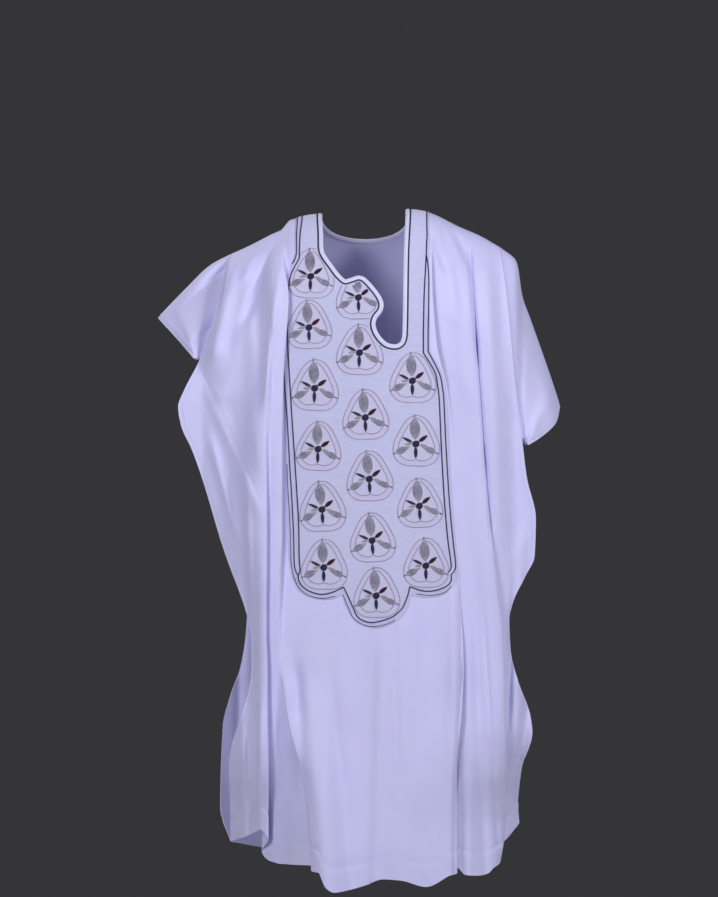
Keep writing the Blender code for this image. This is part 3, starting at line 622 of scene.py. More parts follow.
class Shader:
    """One material and its node tree."""

    def __init__(self, name, roughness):
        self.material = bpy.data.materials.new(name)
        self.material.use_nodes = True
        self.tree = self.material.node_tree
        self.surface = self.tree.nodes["Principled BSDF"]
        self.surface.inputs["Roughness"].default_value = roughness

    def fill(self, place, value):
        """Gives an input a socket or a plain value."""
        if isinstance(value, Value):
            value = value.socket
        if isinstance(value, bpy.types.NodeSocket):
            self.tree.links.new(value, place)
        else:
            place.default_value = value

    def node(self, kind, inputs=None, **settings):
        """Any node, with its settings and inputs by name."""
        made = self.tree.nodes.new(kind)
        for key, value in settings.items():
            setattr(made, key, value)
        for key, value in (inputs or {}).items():
            self.fill(made.inputs[key], value)
        return made

    def value(self, socket):
        return Value(self, socket)

    def place(self, uv=None):
        """The X, Y and Z of the object's own coordinates, or of a UV map."""
        if uv:
            source = self.node("ShaderNodeUVMap", uv_map=uv).outputs["UV"]
        else:
            source = self.node("ShaderNodeTexCoord").outputs["Object"]
        parts = self.node("ShaderNodeSeparateXYZ", {"Vector": source})
        return source, [self.value(parts.outputs[k]) for k in range(3)]

    def stretched(self, source, scale):
        """A vector stretched along its axes."""
        node = self.node("ShaderNodeVectorMath", {0: source, 1: scale}, operation="MULTIPLY")
        return node.outputs[0]

    def noise(self, vector, scale, detail=2.0):
        inputs = {"Vector": vector, "Scale": scale, "Detail": detail}
        return self.value(self.node("ShaderNodeTexNoise", inputs).outputs[0])

    def mix(self, factor, first, second):
        """A colour between two colours."""
        node = self.node("ShaderNodeMix", data_type="RGBA")
        for socket, value in zip((node.inputs[0], node.inputs[6], node.inputs[7]),
                                 (factor, first, second)):
            self.fill(socket, value)
        return node.outputs[2]

    def bump(self, height, distance, strength=1.0):
        """Raises the surface by a height, in metres at height 1."""
        inputs = {"Height": height, "Distance": distance, "Strength": strength}
        node = self.node("ShaderNodeBump", inputs)
        self.fill(self.surface.inputs["Normal"], node.outputs[0])

    def colour(self, value):
        self.fill(self.surface.inputs["Base Color"], value)


def sheen(shader, weight):
    """A soft cloth sheen."""
    shader.surface.inputs["Sheen Weight"].default_value = weight
    shader.surface.inputs["Sheen Roughness"].default_value = 0.45
    shader.surface.inputs["Specular IOR Level"].default_value = 0.35


def cloth_material(name, light, dark, weave=0.00055):
    """Fine smooth cloth: a close weave, faint slubs and slow cloudiness."""
    shader = Shader(name, 0.5)
    source, (across, down, _) = shader.place("cut")
    threads = (across * (2 * math.pi / weave)).sin() * (down * (2 * math.pi / weave)).sin()
    slubs = shader.noise(shader.stretched(source, (1.0, 0.12, 1.0)), 900.0)
    clouds = shader.noise(source, 14.0)
    shader.colour(shader.mix((clouds * 0.7 + slubs * 0.3).between(0.35, 0.9, 0.35), dark, light))
    shader.bump(threads * 0.5 + slubs * 1.2 + clouds * 6.0, 0.00006)
    sheen(shader, 0.12)
    return shader.material


robe_cloth = cloth_material("robe_cloth", (0.68, 0.67, 0.90, 1), (0.63, 0.62, 0.87, 1))
binding_cloth = cloth_material("binding_cloth", (0.78, 0.78, 0.92, 1), (0.73, 0.73, 0.90, 1))


def thread_material(name, colour, roughness=0.42, gloss=0.15, mottle=0.0):
    """Twisted thread: a close slanting twist in height, painted shade that darkens the twist's low
    grooves, and darker patches.
    """
    shader = Shader(name, roughness)
    source, (x, y, z) = shader.place()
    twist = ((x + y + z) * 5200.0).sin()
    # Painted shade: the colour falls to 0.72 of itself where the twist's bump is lowest, standing
    # in for shade in the grooves between the plies.
    dark = tuple(0.72 * part for part in colour)
    twist_shaded_tone = shader.mix(twist * 0.5 + 0.5, (*dark, 1), (*colour, 1))
    if mottle:
        patches = shader.noise(source, 420.0, 3.0).between(0.0, 0.5, 0.12)
        twist_shaded_tone = shader.mix(patches * mottle, twist_shaded_tone, (*[0.4 * part for part in colour], 1))
    shader.colour(twist_shaded_tone)
    shader.bump(twist, 0.00012)
    sheen(shader, gloss)
    return shader.material


white_thread = thread_material("white_thread", (0.78, 0.77, 0.93))
dark_thread = thread_material("dark_thread", (0.035, 0.032, 0.075), 0.6, 0.0)
mauve_thread = thread_material("mauve_thread", (0.48, 0.39, 0.50))
grey_thread = thread_material("grey_thread", (0.55, 0.52, 0.62), mottle=0.6)
burgundy_thread = thread_material("burgundy_thread", (0.085, 0.018, 0.035), 0.55, 0.0)
tan_thread = thread_material("tan_thread", (0.66, 0.51, 0.46))

# %% [markdown]
# ## The body and its wings
#
# The whole front is one grid, and so is the whole back, so the pieces on both sides of a seam
# bend alike. The seams lie under the laps, where a maker hides them.

# %% Body and wings
front_out = ways_out(front_grid, front.side)
back_out = ways_out(back_grid, back.side)
for out in (front_out, back_out):
    out[0, :, 1] = 0.0
    out[0] /= np.linalg.norm(out[0], axis=1, keepdims=True)
front_grid = front_grid + front_out * hem_relief(to_last(front_grid, 0), *FOOT_HEM)[..., None]
back_grid = back_grid + back_out * hem_relief(to_last(back_grid, 0), *FOOT_HEM)[..., None]


def cloth_between(name, sheet, first, last):
    """A piece of the front or back between two of its columns."""
    grid, out = (front_grid, front_out) if sheet is front else (back_grid, back_out)
    span = slice(first, last + 1)
    flat = flat_places(grid[:, span])
    return walled(name, grid[:, span], out[:, span], flat, CLOTH_WALL, 0.0, robe_cloth)


def seams_of(columns, first):
    """The two columns of a side that lie on its seams."""
    return [columns.index(("fold", first, SEAM_AT)), columns.index(("fold", first + 1, -SEAM_AT))]


front_seams = seams_of(front_columns, 1)
back_seams = seams_of(back_columns, 0)
front_end = len(front_columns) - 1
back_end = len(back_columns) - 1
front_body = cloth_between("front_body", front, *front_seams)
front_right_wing = cloth_between("front_right_wing", front, 0, front_seams[0])
front_left_wing = cloth_between("front_left_wing", front, front_seams[1], front_end)
back_body = cloth_between("back_body", back, *back_seams)
back_right_wing = cloth_between("back_right_wing", back, 0, back_seams[0])
back_left_wing = cloth_between("back_left_wing", back, back_seams[1], back_end)

# %% [markdown]
# ## The turned-up sleeves
#
# Each wide sleeve is folded up on the shoulder. Its cloth starts at the wing's open edge,
# passes over the shoulder ridge from front to back, and ends in a free hem further out.

# %% Turned-up sleeves
def sleeve_grid(spec, which, across):
    """Rows of points of a turned-up sleeve, from the front seam's foot over the ridge."""
    edge, inner = (0, 3) if which == 0 else (-1, -4)
    seams, ways, shares, sides = [], [], [], []
    for sheet, grid in ((front, front_grid), (back, back_grid)):
        seam = grid[:, edge]
        way = seam - grid[:, inner]
        way = way / np.linalg.norm(way, axis=1, keepdims=True)
        kept = int(np.sum(seam[:, 2] >= spec["foot"]))
        order = slice(kept - 1, None, -1) if sheet is front else slice(1, kept)
        seams.append(seam[order])
        ways.append(way[order])
        shares.append((np.arange(len(seam)) / (kept - 1))[order])
        sides.append(np.full(len(seam), sheet.side)[order])
    seam, way = np.concatenate(seams), np.concatenate(ways)
    v = np.concatenate(shares)[:, None]
    side = np.concatenate(sides)[:, None]
    top = int(np.argmin(v))
    seam[top, 1] = 0.0
    way[top] = (-1.0 if which == 0 else 1.0, 0.0, 0.0)
    seam = seam + way * SLEEVE_GAP
    u = (np.arange(across + 1) / across)[None, :]
    out_x = smooth_value(spec["edge"], v, 1)
    out_z = smooth_value(spec["edge"], v, 2)
    foot_y = np.where(side < 0, abs(seam[0, 1]), abs(seam[-1, 1]))
    out_y = spec["spread"] * (1 - v * v) + foot_y * v * v
    out_y = side * out_y * np.sin(0.5 * np.pi * v) ** 0.8
    ends = spec["ridge"][0], spec["ridge"][-1]
    bow_x = smooth_value(spec["ridge"], u, 1) - (ends[0][1] * (1 - u) + ends[1][1] * u)
    bow_z = smooth_value(spec["ridge"], u, 2) - (ends[0][2] * (1 - u) + ends[1][2] * u)
    x = seam[:, :1] * (1 - u) + out_x * u + bow_x * (1 - v) ** 2
    z = seam[:, 2:] * (1 - u) + out_z * u + bow_z * (1 - v) ** 2
    y = seam[:, 1:2] * (1 - u) + out_y * u
    dip = np.sin(np.pi * np.minimum(u / 0.8, 1.0) ** spec["belly"])
    dip = dip * np.sin(np.pi * np.minimum(1.7 * v, 0.5))
    reach = np.hypot(out_x - seam[:, :1], out_z - seam[:, 2:])
    limit = np.minimum(np.minimum(spec["dip"], 0.9 * np.abs(seam[:, 1:2])), 0.6 * reach)
    y = y - side * limit * dip
    for mid_u, slant, height, half in spec["creases"]:
        off = (u - mid_u - slant * v) / half
        fade = np.sin(np.pi * np.minimum(v, 0.5)) * np.minimum(reach / CREASE_REACH, 1.0)
        y = y + side * height * fade * np.exp(-1.6 * off * off)
    return np.stack([x, y, z], axis=-1)


def sleeve(name, spec, which):
    """One turned-up sleeve, with its doubled free hem."""
    grid = sleeve_grid(spec, which, SLEEVE_COLUMNS)
    out = ways_out(grid, 1 if which == 0 else -1)
    grid = grid + out * hem_relief(to_last(grid, 1), *SLEEVE_HEM)[..., None]
    obj = walled(name, grid, out, flat_places(grid), CLOTH_WALL, 0.0, robe_cloth)
    return obj, grid, out


right_sleeve, right_sleeve_grid, right_sleeve_out = sleeve("right_sleeve", SLEEVE_RIGHT, 0)
left_sleeve, left_sleeve_grid, left_sleeve_out = sleeve("left_sleeve", SLEEVE_LEFT, 1)
for piece in (front_body, front_right_wing, front_left_wing, back_body, right_sleeve, left_sleeve):
    print(piece.name, triangles(piece), "triangles")

# %% [markdown]
# ## The neck opening
#
# The opening is cut through the front with a closed prism. A dark cord runs round it, and
# between the cord and the edge lies a white binding that wraps over the cut edge. Lines in the
# flat of the photo's plane are laid on the cloth by a ray from the front.

# %% Lines, cuts and laying on the cloth
def curve_through(line, spacing):
    """Places on a smooth curve through a line of (across, height)."""
    places = np.array(line, float)
    ends = np.concatenate([places[:1], places, places[-1:]])
    result = []
    for i in range(len(places) - 1):
        before, start, end, after = ends[i:i + 4]
        steps = max(int(round(np.linalg.norm(end - start) / spacing)), 1)
        f = (np.arange(steps) / steps)[:, None]
        curve = start * (2 * f**3 - 3 * f**2 + 1) + (end - before) * 0.5 * (f**3 - 2 * f**2 + f)
        curve = curve + end * (3 * f**2 - 2 * f**3) + (after - start) * 0.5 * (f**3 - f**2)
        result.append(curve)
    return np.concatenate(result + [places[-1:]])


def offset_line(line, distance):
    """A line moved to its left, seen along its way, by one or many distances."""
    way = np.gradient(line, axis=0)
    way = way / np.linalg.norm(way, axis=1, keepdims=True)
    left = np.stack([-way[:, 1], way[:, 0]], axis=1)
    return line + left * np.broadcast_to(distance, len(line))[:, None]


def resampled(line, spacing):
    """The same line with even steps."""
    steps = np.linalg.norm(np.diff(line, axis=0), axis=1)
    along = np.concatenate([[0.0], np.cumsum(steps)])
    count = max(int(round(along[-1] / spacing)), 2)
    marks = np.linspace(0.0, along[-1], count + 1)
    return np.stack([np.interp(marks, along, line[:, k]) for k in range(line.shape[1])], axis=1)


def prism(line, near_y, far_y):
    """A closed cutter: an outline in the XZ plane run from one depth to another."""
    count = len(line)
    near = [(x * MM, near_y * MM, z * MM) for x, z in line]
    far = [(x * MM, far_y * MM, z * MM) for x, z in line]
    sides = [(k, (k + 1) % count, (k + 1) % count + count, k + count) for k in range(count)]
    mesh = bpy.data.meshes.new("cutter")
    mesh.from_pydata(near + far, [], [tuple(range(count)), tuple(range(count, 2 * count)), *sides])
    turn_outward(mesh)
    return link(bpy.data.objects.new("cutter", mesh))


def settled(obj):
    """Turns an object and its modifiers into a plain mesh."""
    graph = bpy.context.evaluated_depsgraph_get()
    mesh = bpy.data.meshes.new_from_object(obj.evaluated_get(graph))
    obj.modifiers.clear()
    obj.data = mesh
    return obj


def cut(obj, cutter, operation):
    """Cuts a piece with a closed cutter and removes the cutter."""
    step = obj.modifiers.new("cut", "BOOLEAN")
    step.operation = operation
    step.solver = "EXACT"
    step.object = cutter
    settled(obj)
    bpy.data.objects.remove(cutter)
    obj.data.set_sharp_from_angle(angle=SHARP_ANGLE)


def tree_of(grid):
    """A grid's middle surface, for laying things on it."""
    quads = grid_faces(*grid.shape[:2])[1]
    return BVHTree.FromPolygons(grid.reshape(-1, 3).tolist(), quads.tolist())


def laid(tree, places, lift, side=-1):
    """Points above the front or back at places of the XZ plane, and the ways out there."""
    points, outs = [], []
    lifts = np.broadcast_to(lift, len(places))
    for (x, z), high in zip(places, lifts):
        hit, normal, _, _ = tree.ray_cast(Vector((x, side * 400.0, z)), Vector((0, -side, 0)))
        if hit is None:
            continue
        normal = normal if normal.y * side > 0 else -normal
        points.append(np.array(hit + normal * high))
        outs.append(np.array(normal))
    return np.array(points), np.array(outs)


middle_front = slice(front_seams[0], front_seams[1] + 1)
front_tree = tree_of(front_grid[:, middle_front])
back_tree = tree_of(back_grid[:, back_seams[0]:back_seams[1] + 1])
neck_line = curve_through(NECK_LINE, 2.5)
cut(front_body, prism(offset_line(neck_line, BINDING_WIDTH)[::2], CUT_NEAR, CUT_FAR), "DIFFERENCE")
turns = np.pi * np.arange(49) / 48
back_neck_z = 4 - BACK_NECK_DROP * np.sin(turns) ** 0.7
back_neck = np.stack([-BACK_NECK_HALF * np.cos(turns), back_neck_z], 1)
back_cutter = np.concatenate([[(-BACK_NECK_HALF, 40)], back_neck, [(BACK_NECK_HALF, 40)]])
cut(back_body, prism(back_cutter, -0.1, 300), "DIFFERENCE")

# %% [markdown]
# ## The chest panel
#
# The panel is made from the body's own points, moved out, so that it follows every fold below
# it. Its outline and the neck opening are cut the same way. A second UV map gives each face
# its place in the nearest flower, which lets the shader colour the flowers by formula.

# %% The panel's ground and its flowers in colour
RING_BASE, RING_LIFT, RING_CORNERS = 43.0, 1.0, 4.4
RING_SQUEEZE = 0.9
RING_ASIDE = 1.5
INNER_SHARE = 0.77


def panel_material():
    """Pale blue-white rows of straight stitching with faint pink rings."""
    shader = Shader("panel_work", 0.55)
    source, (x, y, z) = shader.place()
    _, (fx, fz, _) = shader.place("flower")
    fx = (fx - RING_ASIDE * MM) * (1 / RING_SQUEEZE)
    far = (fx * fx + fz * fz).maths("SQRT") * 1000.0
    turn = fz.maths("ARCTAN2", fx)
    sine = turn.sin()
    ring = sine * RING_LIFT + sine * (sine * sine * 4.0 - 3.0) * RING_CORNERS + RING_BASE
    streaks = shader.noise(shader.stretched(source, (60.0, 60.0, 900.0)), 1.0)
    patches = shader.noise(source, 90.0, 3.0)
    ground = shader.mix(streaks.between(0.42, 2.0, 0.3), (0.60, 0.61, 0.83, 1),
                        (0.69, 0.70, 0.90, 1))
    ground = shader.mix(patches * 0.3, ground, (0.78, 0.78, 0.92, 1))
    between_rings = far.between(ring * INNER_SHARE, ring, 1.5)
    inside = far.between(0.0, ring * INNER_SHARE, 1.5)
    tinted = shader.mix(between_rings * 0.4, ground, (0.72, 0.64, 0.80, 1))
    tinted = shader.mix(inside * 0.35, tinted, (0.74, 0.70, 0.81, 1))
    rows = (z * (2 * math.pi / 0.0011) + streaks * 3.0).sin()
    rim = shader.value(shader.node("ShaderNodeAttribute", attribute_name="rim").outputs["Fac"])
    tinted = shader.mix(rim.between(-60.0, 0.0, 1.0), tinted, (0.67, 0.66, 0.89, 1))
    shader.colour(tinted)
    shader.bump(rows * 0.6 + streaks + patches, 0.00025)
    sheen(shader, 0.2)
    return shader.material

# %% Chest panel
# Middles of the flowers: across, height
FLOWERS = [
    (-95, -114), (-98, -203), (-88, -309), (-82, -415), (-75, -520), (-72, -621),
    (-12, -151), (-10, -247), (0, -360), (7, -467), (12, -574), (19, -670),
    (82, -296), (88, -406), (94, -514), (105, -618),
]
# The border's cords from corner to corner, as across and height
FIELD_CORDS = {
    "right strap": [(-109.5, 40), (-109.5, -4), (-113.2, -40), (-114.4, -82)],
    "right side": [
        (-114.4, -82), (-127.5, -107), (-131.6, -124), (-135, -152), (-135, -209), (-132, -279),
        (-125.8, -378), (-118.7, -486), (-115.3, -546), (-114.3, -603), (-112.7, -626),
        (-116.2, -635)],
    "right lobe": [
        (-116.2, -635), (-114.5, -645), (-108, -654.5), (-95, -663), (-76.3, -667.8),
        (-57.4, -664.5), (-37.3, -655)],
    "middle lobe": [
        (-37.3, -655), (-26.3, -678.5), (-21, -690.6), (-14, -705), (-3.5, -713.3), (15.2, -716.6),
        (44.6, -708.5), (60.7, -696), (67, -687), (74, -669), (77.4, -654.5)],
    "left lobe": [
        (77.4, -654.5), (96.8, -661), (113.8, -662.4), (130.4, -659), (143.5, -652.8), (150, -644),
        (149.5, -634)],
    "left side": [
        (143.7, -630), (148.5, -624.8), (149.5, -614), (144, -574), (137.8, -504), (132.8, -415),
        (129, -329), (126.2, -304.5), (122.5, -284), (112, -264), (101.5, -248)],
    "left strap": [(101.5, -248), (101.6, -206), (103, -143), (105.7, -94), (107.5, -54),
                   (108.3, -3), (108.3, 40)],
}
# A second cord outside it
OUTER_CORDS = {
    "right strap": [(-118, 40), (-118, -4), (-119.4, -42), (-119.6, -74), (-126.5, -92)],
    "right side": [
        (-142.6, -190), (-142.8, -248), (-140, -300), (-136, -350.5), (-133.2, -400.8),
        (-130.3, -451), (-127.4, -495), (-124, -565), (-122.5, -618), (-116.2, -635)],
    "left side": [
        (149.5, -634), (155.5, -626.5), (157.3, -614), (152.8, -574), (146.4, -504), (141, -415),
        (137, -329), (134.8, -309), (131.5, -289.5), (124.5, -272.5), (109.8, -245)],
    "left strap": [
        (109.8, -245), (109.8, -206), (110.8, -162), (111, -118), (109.6, -94), (107, -76)],
}
# A fine third one round the foot
FINE_CORDS = {
    "right": [
        (-135.6, -441), (-134, -485.6), (-131.3, -526.8), (-129, -584.5), (-127.8, -618),
        (-121, -645), (-111, -661), (-91.5, -672), (-70.7, -674.6), (-51.6, -671)],
    "middle": [
        (-38.6, -668), (-28.9, -691), (-19.4, -709.6), (-0.4, -721.2), (18, -723.6), (39.2, -719),
        (52, -712)],
    "left": [(88.7, -667), (114.3, -669.7), (138, -665), (150, -654.5)],
}
flowers = np.array(FLOWERS, float)
on_panel = front_grid[:, (front_seams[0] + front_seams[1]) // 2, 2] > PANEL_FOOT
inner = slice(front_seams[0] + 1, front_seams[1])
panel_grid = front_grid[on_panel][:, inner]
panel_out = front_out[on_panel][:, inner]
chest_panel = walled("embroidered_panel", panel_grid, panel_out, flat_places(panel_grid),
                     PANEL_WALL, PANEL_LIFT, panel_material())
panel_line = curve_through(PANEL_LINE, 5.0)
cut(chest_panel, prism(panel_line, -300, -0.2), "INTERSECT")
cut(chest_panel, prism(offset_line(neck_line, -0.6)[::2], -310, 30), "DIFFERENCE")


def flower_map(obj):
    """Gives each face a UV place in metres in the flower nearest to its middle."""
    mesh = obj.data
    middle = read_all(mesh.polygons, "center", float, 3)[:, [0, 2]]
    total = read_all(mesh.polygons, "loop_total", np.int32)
    away = np.linalg.norm(middle[:, None] - flowers[None] * MM, axis=2)
    chosen = np.repeat(np.argmin(away, axis=1), total)
    corner = read_all(mesh.loops, "vertex_index", np.int32)
    points = read_all(mesh.vertices, "co", float, 3)[corner]
    add_uv(mesh, "flower", points[:, [0, 2]] - flowers[chosen] * MM)


def inside(places, outline):
    """Tells which places lie in a closed outline, by counting the sides to their right."""
    x, z = places[:, :1], places[:, 1:]
    start, end = outline, np.roll(outline, -1, axis=0)
    passes = (start[:, 1] > z) != (end[:, 1] > z)
    rise = np.where(end[:, 1] == start[:, 1], 1.0, end[:, 1] - start[:, 1])
    at = start[:, 0] + (z - start[:, 1]) / rise * (end[:, 0] - start[:, 0])
    return np.sum(passes & (x < at), axis=1) % 2 == 1


def rim_map(obj):
    """Stores at each point how far it lies inside the field's cord, in millimetres."""
    mesh = obj.data
    tree = KDTree(len(field))
    for k, (x, z) in enumerate(field):
        tree.insert((x, z, 0.0), k)
    tree.balance()
    places = read_all(mesh.vertices, "co", float, 3)[:, [0, 2]] / MM
    side = np.where(inside(places, field), 1.0, -1.0)
    away = np.array([tree.find((x, z, 0.0))[2] for x, z in places])
    mesh.attributes.new("rim", "FLOAT", "POINT").data.foreach_set("value", side * away)


field = np.concatenate([curve_through(line, 2.0) for line in FIELD_CORDS.values()])
opening = offset_line(neck_line, -2.2)
flower_map(chest_panel)
rim_map(chest_panel)
print("panel:", triangles(chest_panel), "triangles")

# %% [markdown]
# ## Thread, cord and stitches
#
# Two Geometry Nodes groups do all the sewing. `Threads` turns lines into round threads.
# `Stitches` walks along a line and sets a small stitch at every step.

# %% Two node groups for sewing
def new_group(name, inputs):
    """A geometry node group with named inputs."""
    group = bpy.data.node_groups.new(name, "GeometryNodeTree")
    group.interface.new_socket("Geometry", in_out="INPUT", socket_type="NodeSocketGeometry")
    for label, kind in inputs:
        group.interface.new_socket(label, in_out="INPUT", socket_type=kind)
    group.interface.new_socket("Geometry", in_out="OUTPUT", socket_type="NodeSocketGeometry")
    return group


def add_node(group, kind, mode=None, **links):
    """A node of a group, with its inputs linked by name; an underscore stands for a space."""
    node = group.nodes.new(kind)
    if mode:
        node.mode = mode
    for label, source in links.items():
        place = node.inputs[label.replace("_", " ")]
        if isinstance(source, bpy.types.NodeSocket):
            group.links.new(source, place)
        else:
            place.default_value = source
    return node


def ended(group, geometry, material):
    """Ends a group with real geometry in one material."""
    real = add_node(group, "GeometryNodeRealizeInstances", Geometry=geometry).outputs[0]
    dressed = add_node(group, "GeometryNodeSetMaterial", Geometry=real, Material=material)
    group.links.new(dressed.outputs[0], group.nodes.new("NodeGroupOutput").inputs[0])
    return group


def thread_group():
    """Lines to round threads."""
    group = new_group("Threads", [
        ("Radius", "NodeSocketFloat"), ("Sides", "NodeSocketInt"),
        ("Material", "NodeSocketMaterial")])
    given = group.nodes.new("NodeGroupInput").outputs
    curve = add_node(group, "GeometryNodeMeshToCurve", Mesh=given["Geometry"]).outputs[0]
    round_end = add_node(group, "GeometryNodeCurvePrimitiveCircle",
                         Resolution=given["Sides"], Radius=given["Radius"]).outputs[0]
    tube = add_node(group, "GeometryNodeCurveToMesh", Curve=curve, Profile_Curve=round_end,
                    Fill_Caps=True).outputs[0]
    return ended(group, tube, given["Material"])


def stitch_group():
    """Lines to rows of short stitches."""
    group = new_group("Stitches", [
        ("Pitch", "NodeSocketFloat"), ("Length", "NodeSocketFloat"), ("Radius", "NodeSocketFloat"),
        ("Material", "NodeSocketMaterial")])
    given = group.nodes.new("NodeGroupInput").outputs
    curve = add_node(group, "GeometryNodeMeshToCurve", Mesh=given["Geometry"]).outputs[0]
    walker = add_node(group, "GeometryNodeCurveToPoints", "LENGTH", Curve=curve,
                      Length=given["Pitch"])
    size = add_node(group, "ShaderNodeCombineXYZ", X=given["Radius"], Y=given["Radius"],
                    Z=given["Length"]).outputs[0]
    bead = add_node(group, "GeometryNodeMeshUVSphere", Segments=6, Rings=4, Radius=1.0).outputs[0]
    placed = add_node(group, "GeometryNodeInstanceOnPoints", Points=walker.outputs["Points"],
                      Instance=bead, Rotation=walker.outputs["Rotation"], Scale=size).outputs[0]
    return ended(group, placed, given["Material"])


threads = thread_group()
stitches = stitch_group()


def sewn(name, lines, group, **inputs):
    """Makes one object from lines of points in millimetres with a node group."""
    points, edges = [], []
    for line in lines:
        start = len(points)
        points += (np.asarray(line) * MM).tolist()
        edges += [(k, k + 1) for k in range(start, len(points) - 1)]
    mesh = bpy.data.meshes.new(name)
    mesh.from_pydata(points, edges, [])
    obj = link(bpy.data.objects.new(name, mesh))
    step = obj.modifiers.new("sewing", "NODES")
    step.node_group = group
    for item in group.interface.items_tree:
        label = item.name.lower()
        if item.in_out == "INPUT" and label in inputs:
            step[item.identifier] = inputs[label]
    settled(obj)
    obj.data.shade_smooth()
    print(name, triangles(obj), "triangles")
    return obj

# %% [markdown]
# ## Piping, binding and borders
#
# Close to the shoulder ridge the cloth is almost level, so the places of a line are set closer
# together there before they are laid on the cloth.

# %% Piping, binding and borders
def to_the_ridge(line, clear=6.0, steps=9, start=True, end=True):
    """A line with its ends run up to the shoulder ridge in ever smaller steps."""
    drop = smooth_value(RIDGE, line[:, 0]) - line[:, 1]
    low = np.where(drop > clear)[0]
    kept = line[low[0]:low[-1] + 1]
    shares = clear * (np.arange(1, steps + 1) / steps) ** 2
    first = np.stack([np.full(steps, kept[0, 0]), smooth_value(RIDGE, kept[0, 0]) - shares], 1)
    last = np.stack([np.full(steps, kept[-1, 0]), smooth_value(RIDGE, kept[-1, 0]) - shares], 1)
    return np.concatenate([first] * start + [kept] + [last[::-1]] * end)


def strip_mesh(name, lanes, material):
    """A band of cloth from lanes of points, as a closed wall."""
    grid = np.stack(lanes, axis=1)
    out = ways_out(grid, -1)
    return walled(name, grid, out, flat_places(grid), 0.5, 0.0, material)


PANEL_TOP = PANEL_LIFT + PANEL_WALL / 2
neck_places = to_the_ridge(neck_line)
piping_points = laid(front_tree, neck_places, PANEL_TOP)[0]
piping = sewn("neck_piping_cord", [piping_points], threads, radius=0.0014, sides=8,
              material=dark_thread)
# The bindings' sections: distance from the neck line, lift off the cloth
LANES = [(1.0, 1.2), (2.0, 1.9), (4.2, 2.1), (6.4, 1.9), (7.9, 1.1), (8.3, 0.0),
         (7.6, -1.0), (5.6, -1.1)]
lanes = [laid(front_tree, offset_line(neck_places, far), lift)[0] for far, lift in LANES]
binding = strip_mesh("neck_binding_band", lanes, binding_cloth)
back_places = to_the_ridge(back_neck, 3.0, 6)
BACK_LANES = [(-5.5, 1.1), (-3.6, 1.5), (-1.2, 1.4), (0.5, 0.6), (0.7, -0.6),
              (-1.5, -1.2), (-5.0, -1.1)]
back_lanes = [laid(back_tree, offset_line(back_places, far), lift, 1)[0]
              for far, lift in BACK_LANES]
shortest = min(len(lane) for lane in back_lanes)
back_band = strip_mesh("back_neck_band", [lane[:shortest] for lane in back_lanes], binding_cloth)


def border_cords(name, tables, radius):
    """Cords laid along the border, a line for each table."""
    lines = []
    for title, table in tables.items():
        line = curve_through(table, 2.5)
        if table[0][1] > 0:
            line = to_the_ridge(line, end=False)
        if table[-1][1] > 0:
            line = to_the_ridge(line, start=False)
        lines.append(laid(front_tree, line, PANEL_TOP + CORD_LIFT)[0])
    return sewn(name, lines, threads, radius=radius, sides=6, material=dark_thread)


border = border_cords("panel_field_cords", FIELD_CORDS, 0.0011)
outer_border = border_cords("panel_outer_cords", OUTER_CORDS, 0.0010)
fine_border = border_cords("panel_fine_cords", FINE_CORDS, 0.0006)
edge_places = to_the_ridge(resampled(offset_line(panel_line, 0.9), 3.0))
edge_line = laid(front_tree, edge_places, PANEL_TOP)[0]
binding_line = laid(front_tree, to_the_ridge(offset_line(neck_line, 5.4)), 2.3)[0]
edge_stitches = sewn("panel_edge_stitches", [edge_line, binding_line], stitches, pitch=0.0034,
                     length=0.0014, radius=0.00045, material=white_thread)

# %% [markdown]
# ## The flowers
#
# Each flower is an ordinary one drawn from a few formulas: a ring that is rounded like a soft
# triangle, a second ring inside it, three satin leaves, three short dark bars and a coiled
# centre. All of it is thread, laid on the panel.

# %% Flowers in thread
def ring_line(share, crest=0.0, dent=0.0):
    """A closed soft triangle round a flower's centre."""
    turn = np.linspace(0.5 * np.pi, 2.5 * np.pi, 85)
    sine = np.sin(turn)
    far = (RING_BASE + RING_LIFT * sine + RING_CORNERS * sine * (4 * sine * sine - 3)) * share
    far = far + crest * np.exp(-((np.cos(turn) / 0.32) ** 2)) * (sine > 0)
    far = far - dent * np.exp(-((np.cos(turn) / 0.22) ** 2)) * (sine < 0)
    return np.stack([far * np.cos(turn) * RING_SQUEEZE + RING_ASIDE, far * sine], 1), np.zeros(85)


def blade(angle, start, end, half, count, rise, steps=9, belly=0.85):
    """Satin threads side by side along a leaf or bar, as lines with their lifts."""
    s = np.linspace(0.0, 1.0, steps)
    along = start + (end - start) * s
    width = half * np.sin(np.pi * s**belly) ** 0.8
    way = np.array([math.cos(math.radians(angle)), math.sin(math.radians(angle))])
    left = np.array([-way[1], way[0]])
    lines = []
    for k in range(count):
        place = 2 * k / max(count - 1, 1) - 1
        points = along[:, None] * way + (width * place)[:, None] * left
        lines.append((points, np.full(steps, rise * (1 - 0.7 * place * place))))
    return lines


def coil(size, turns, rise):
    """A flat coil of cord, higher in its middle."""
    turn = np.linspace(0.0, 2 * np.pi * turns, int(15 * turns))
    far = size * turn / turn[-1]
    return np.stack([far * np.cos(turn), far * np.sin(turn)], 1), rise * (1 - (far / size) ** 2)


def ticks(angle, far):
    """Three short strokes at a leaf's tip."""
    lines = []
    for lean, reach in ((0, 5.0), (26, 3.4), (-26, 3.4)):
        start = np.array([math.cos(math.radians(angle)), math.sin(math.radians(angle))]) * far
        way = np.array([math.cos(math.radians(angle + lean)), math.sin(math.radians(angle + lean))])
        lines.append((np.array([start, start + way * reach]), np.zeros(2)))
    return lines


# Leaves: way, start, end, half width, threads, rise, places along, belly
LEAVES = [
    (94, 8, 46, 8.3, 15, 0.5, 9, 0.9), (206, 11, 38, 5.4, 10, 0.5, 8, 1.4),
    (-22, 11, 38, 4.8, 9, 0.5, 8, 1.4),
]
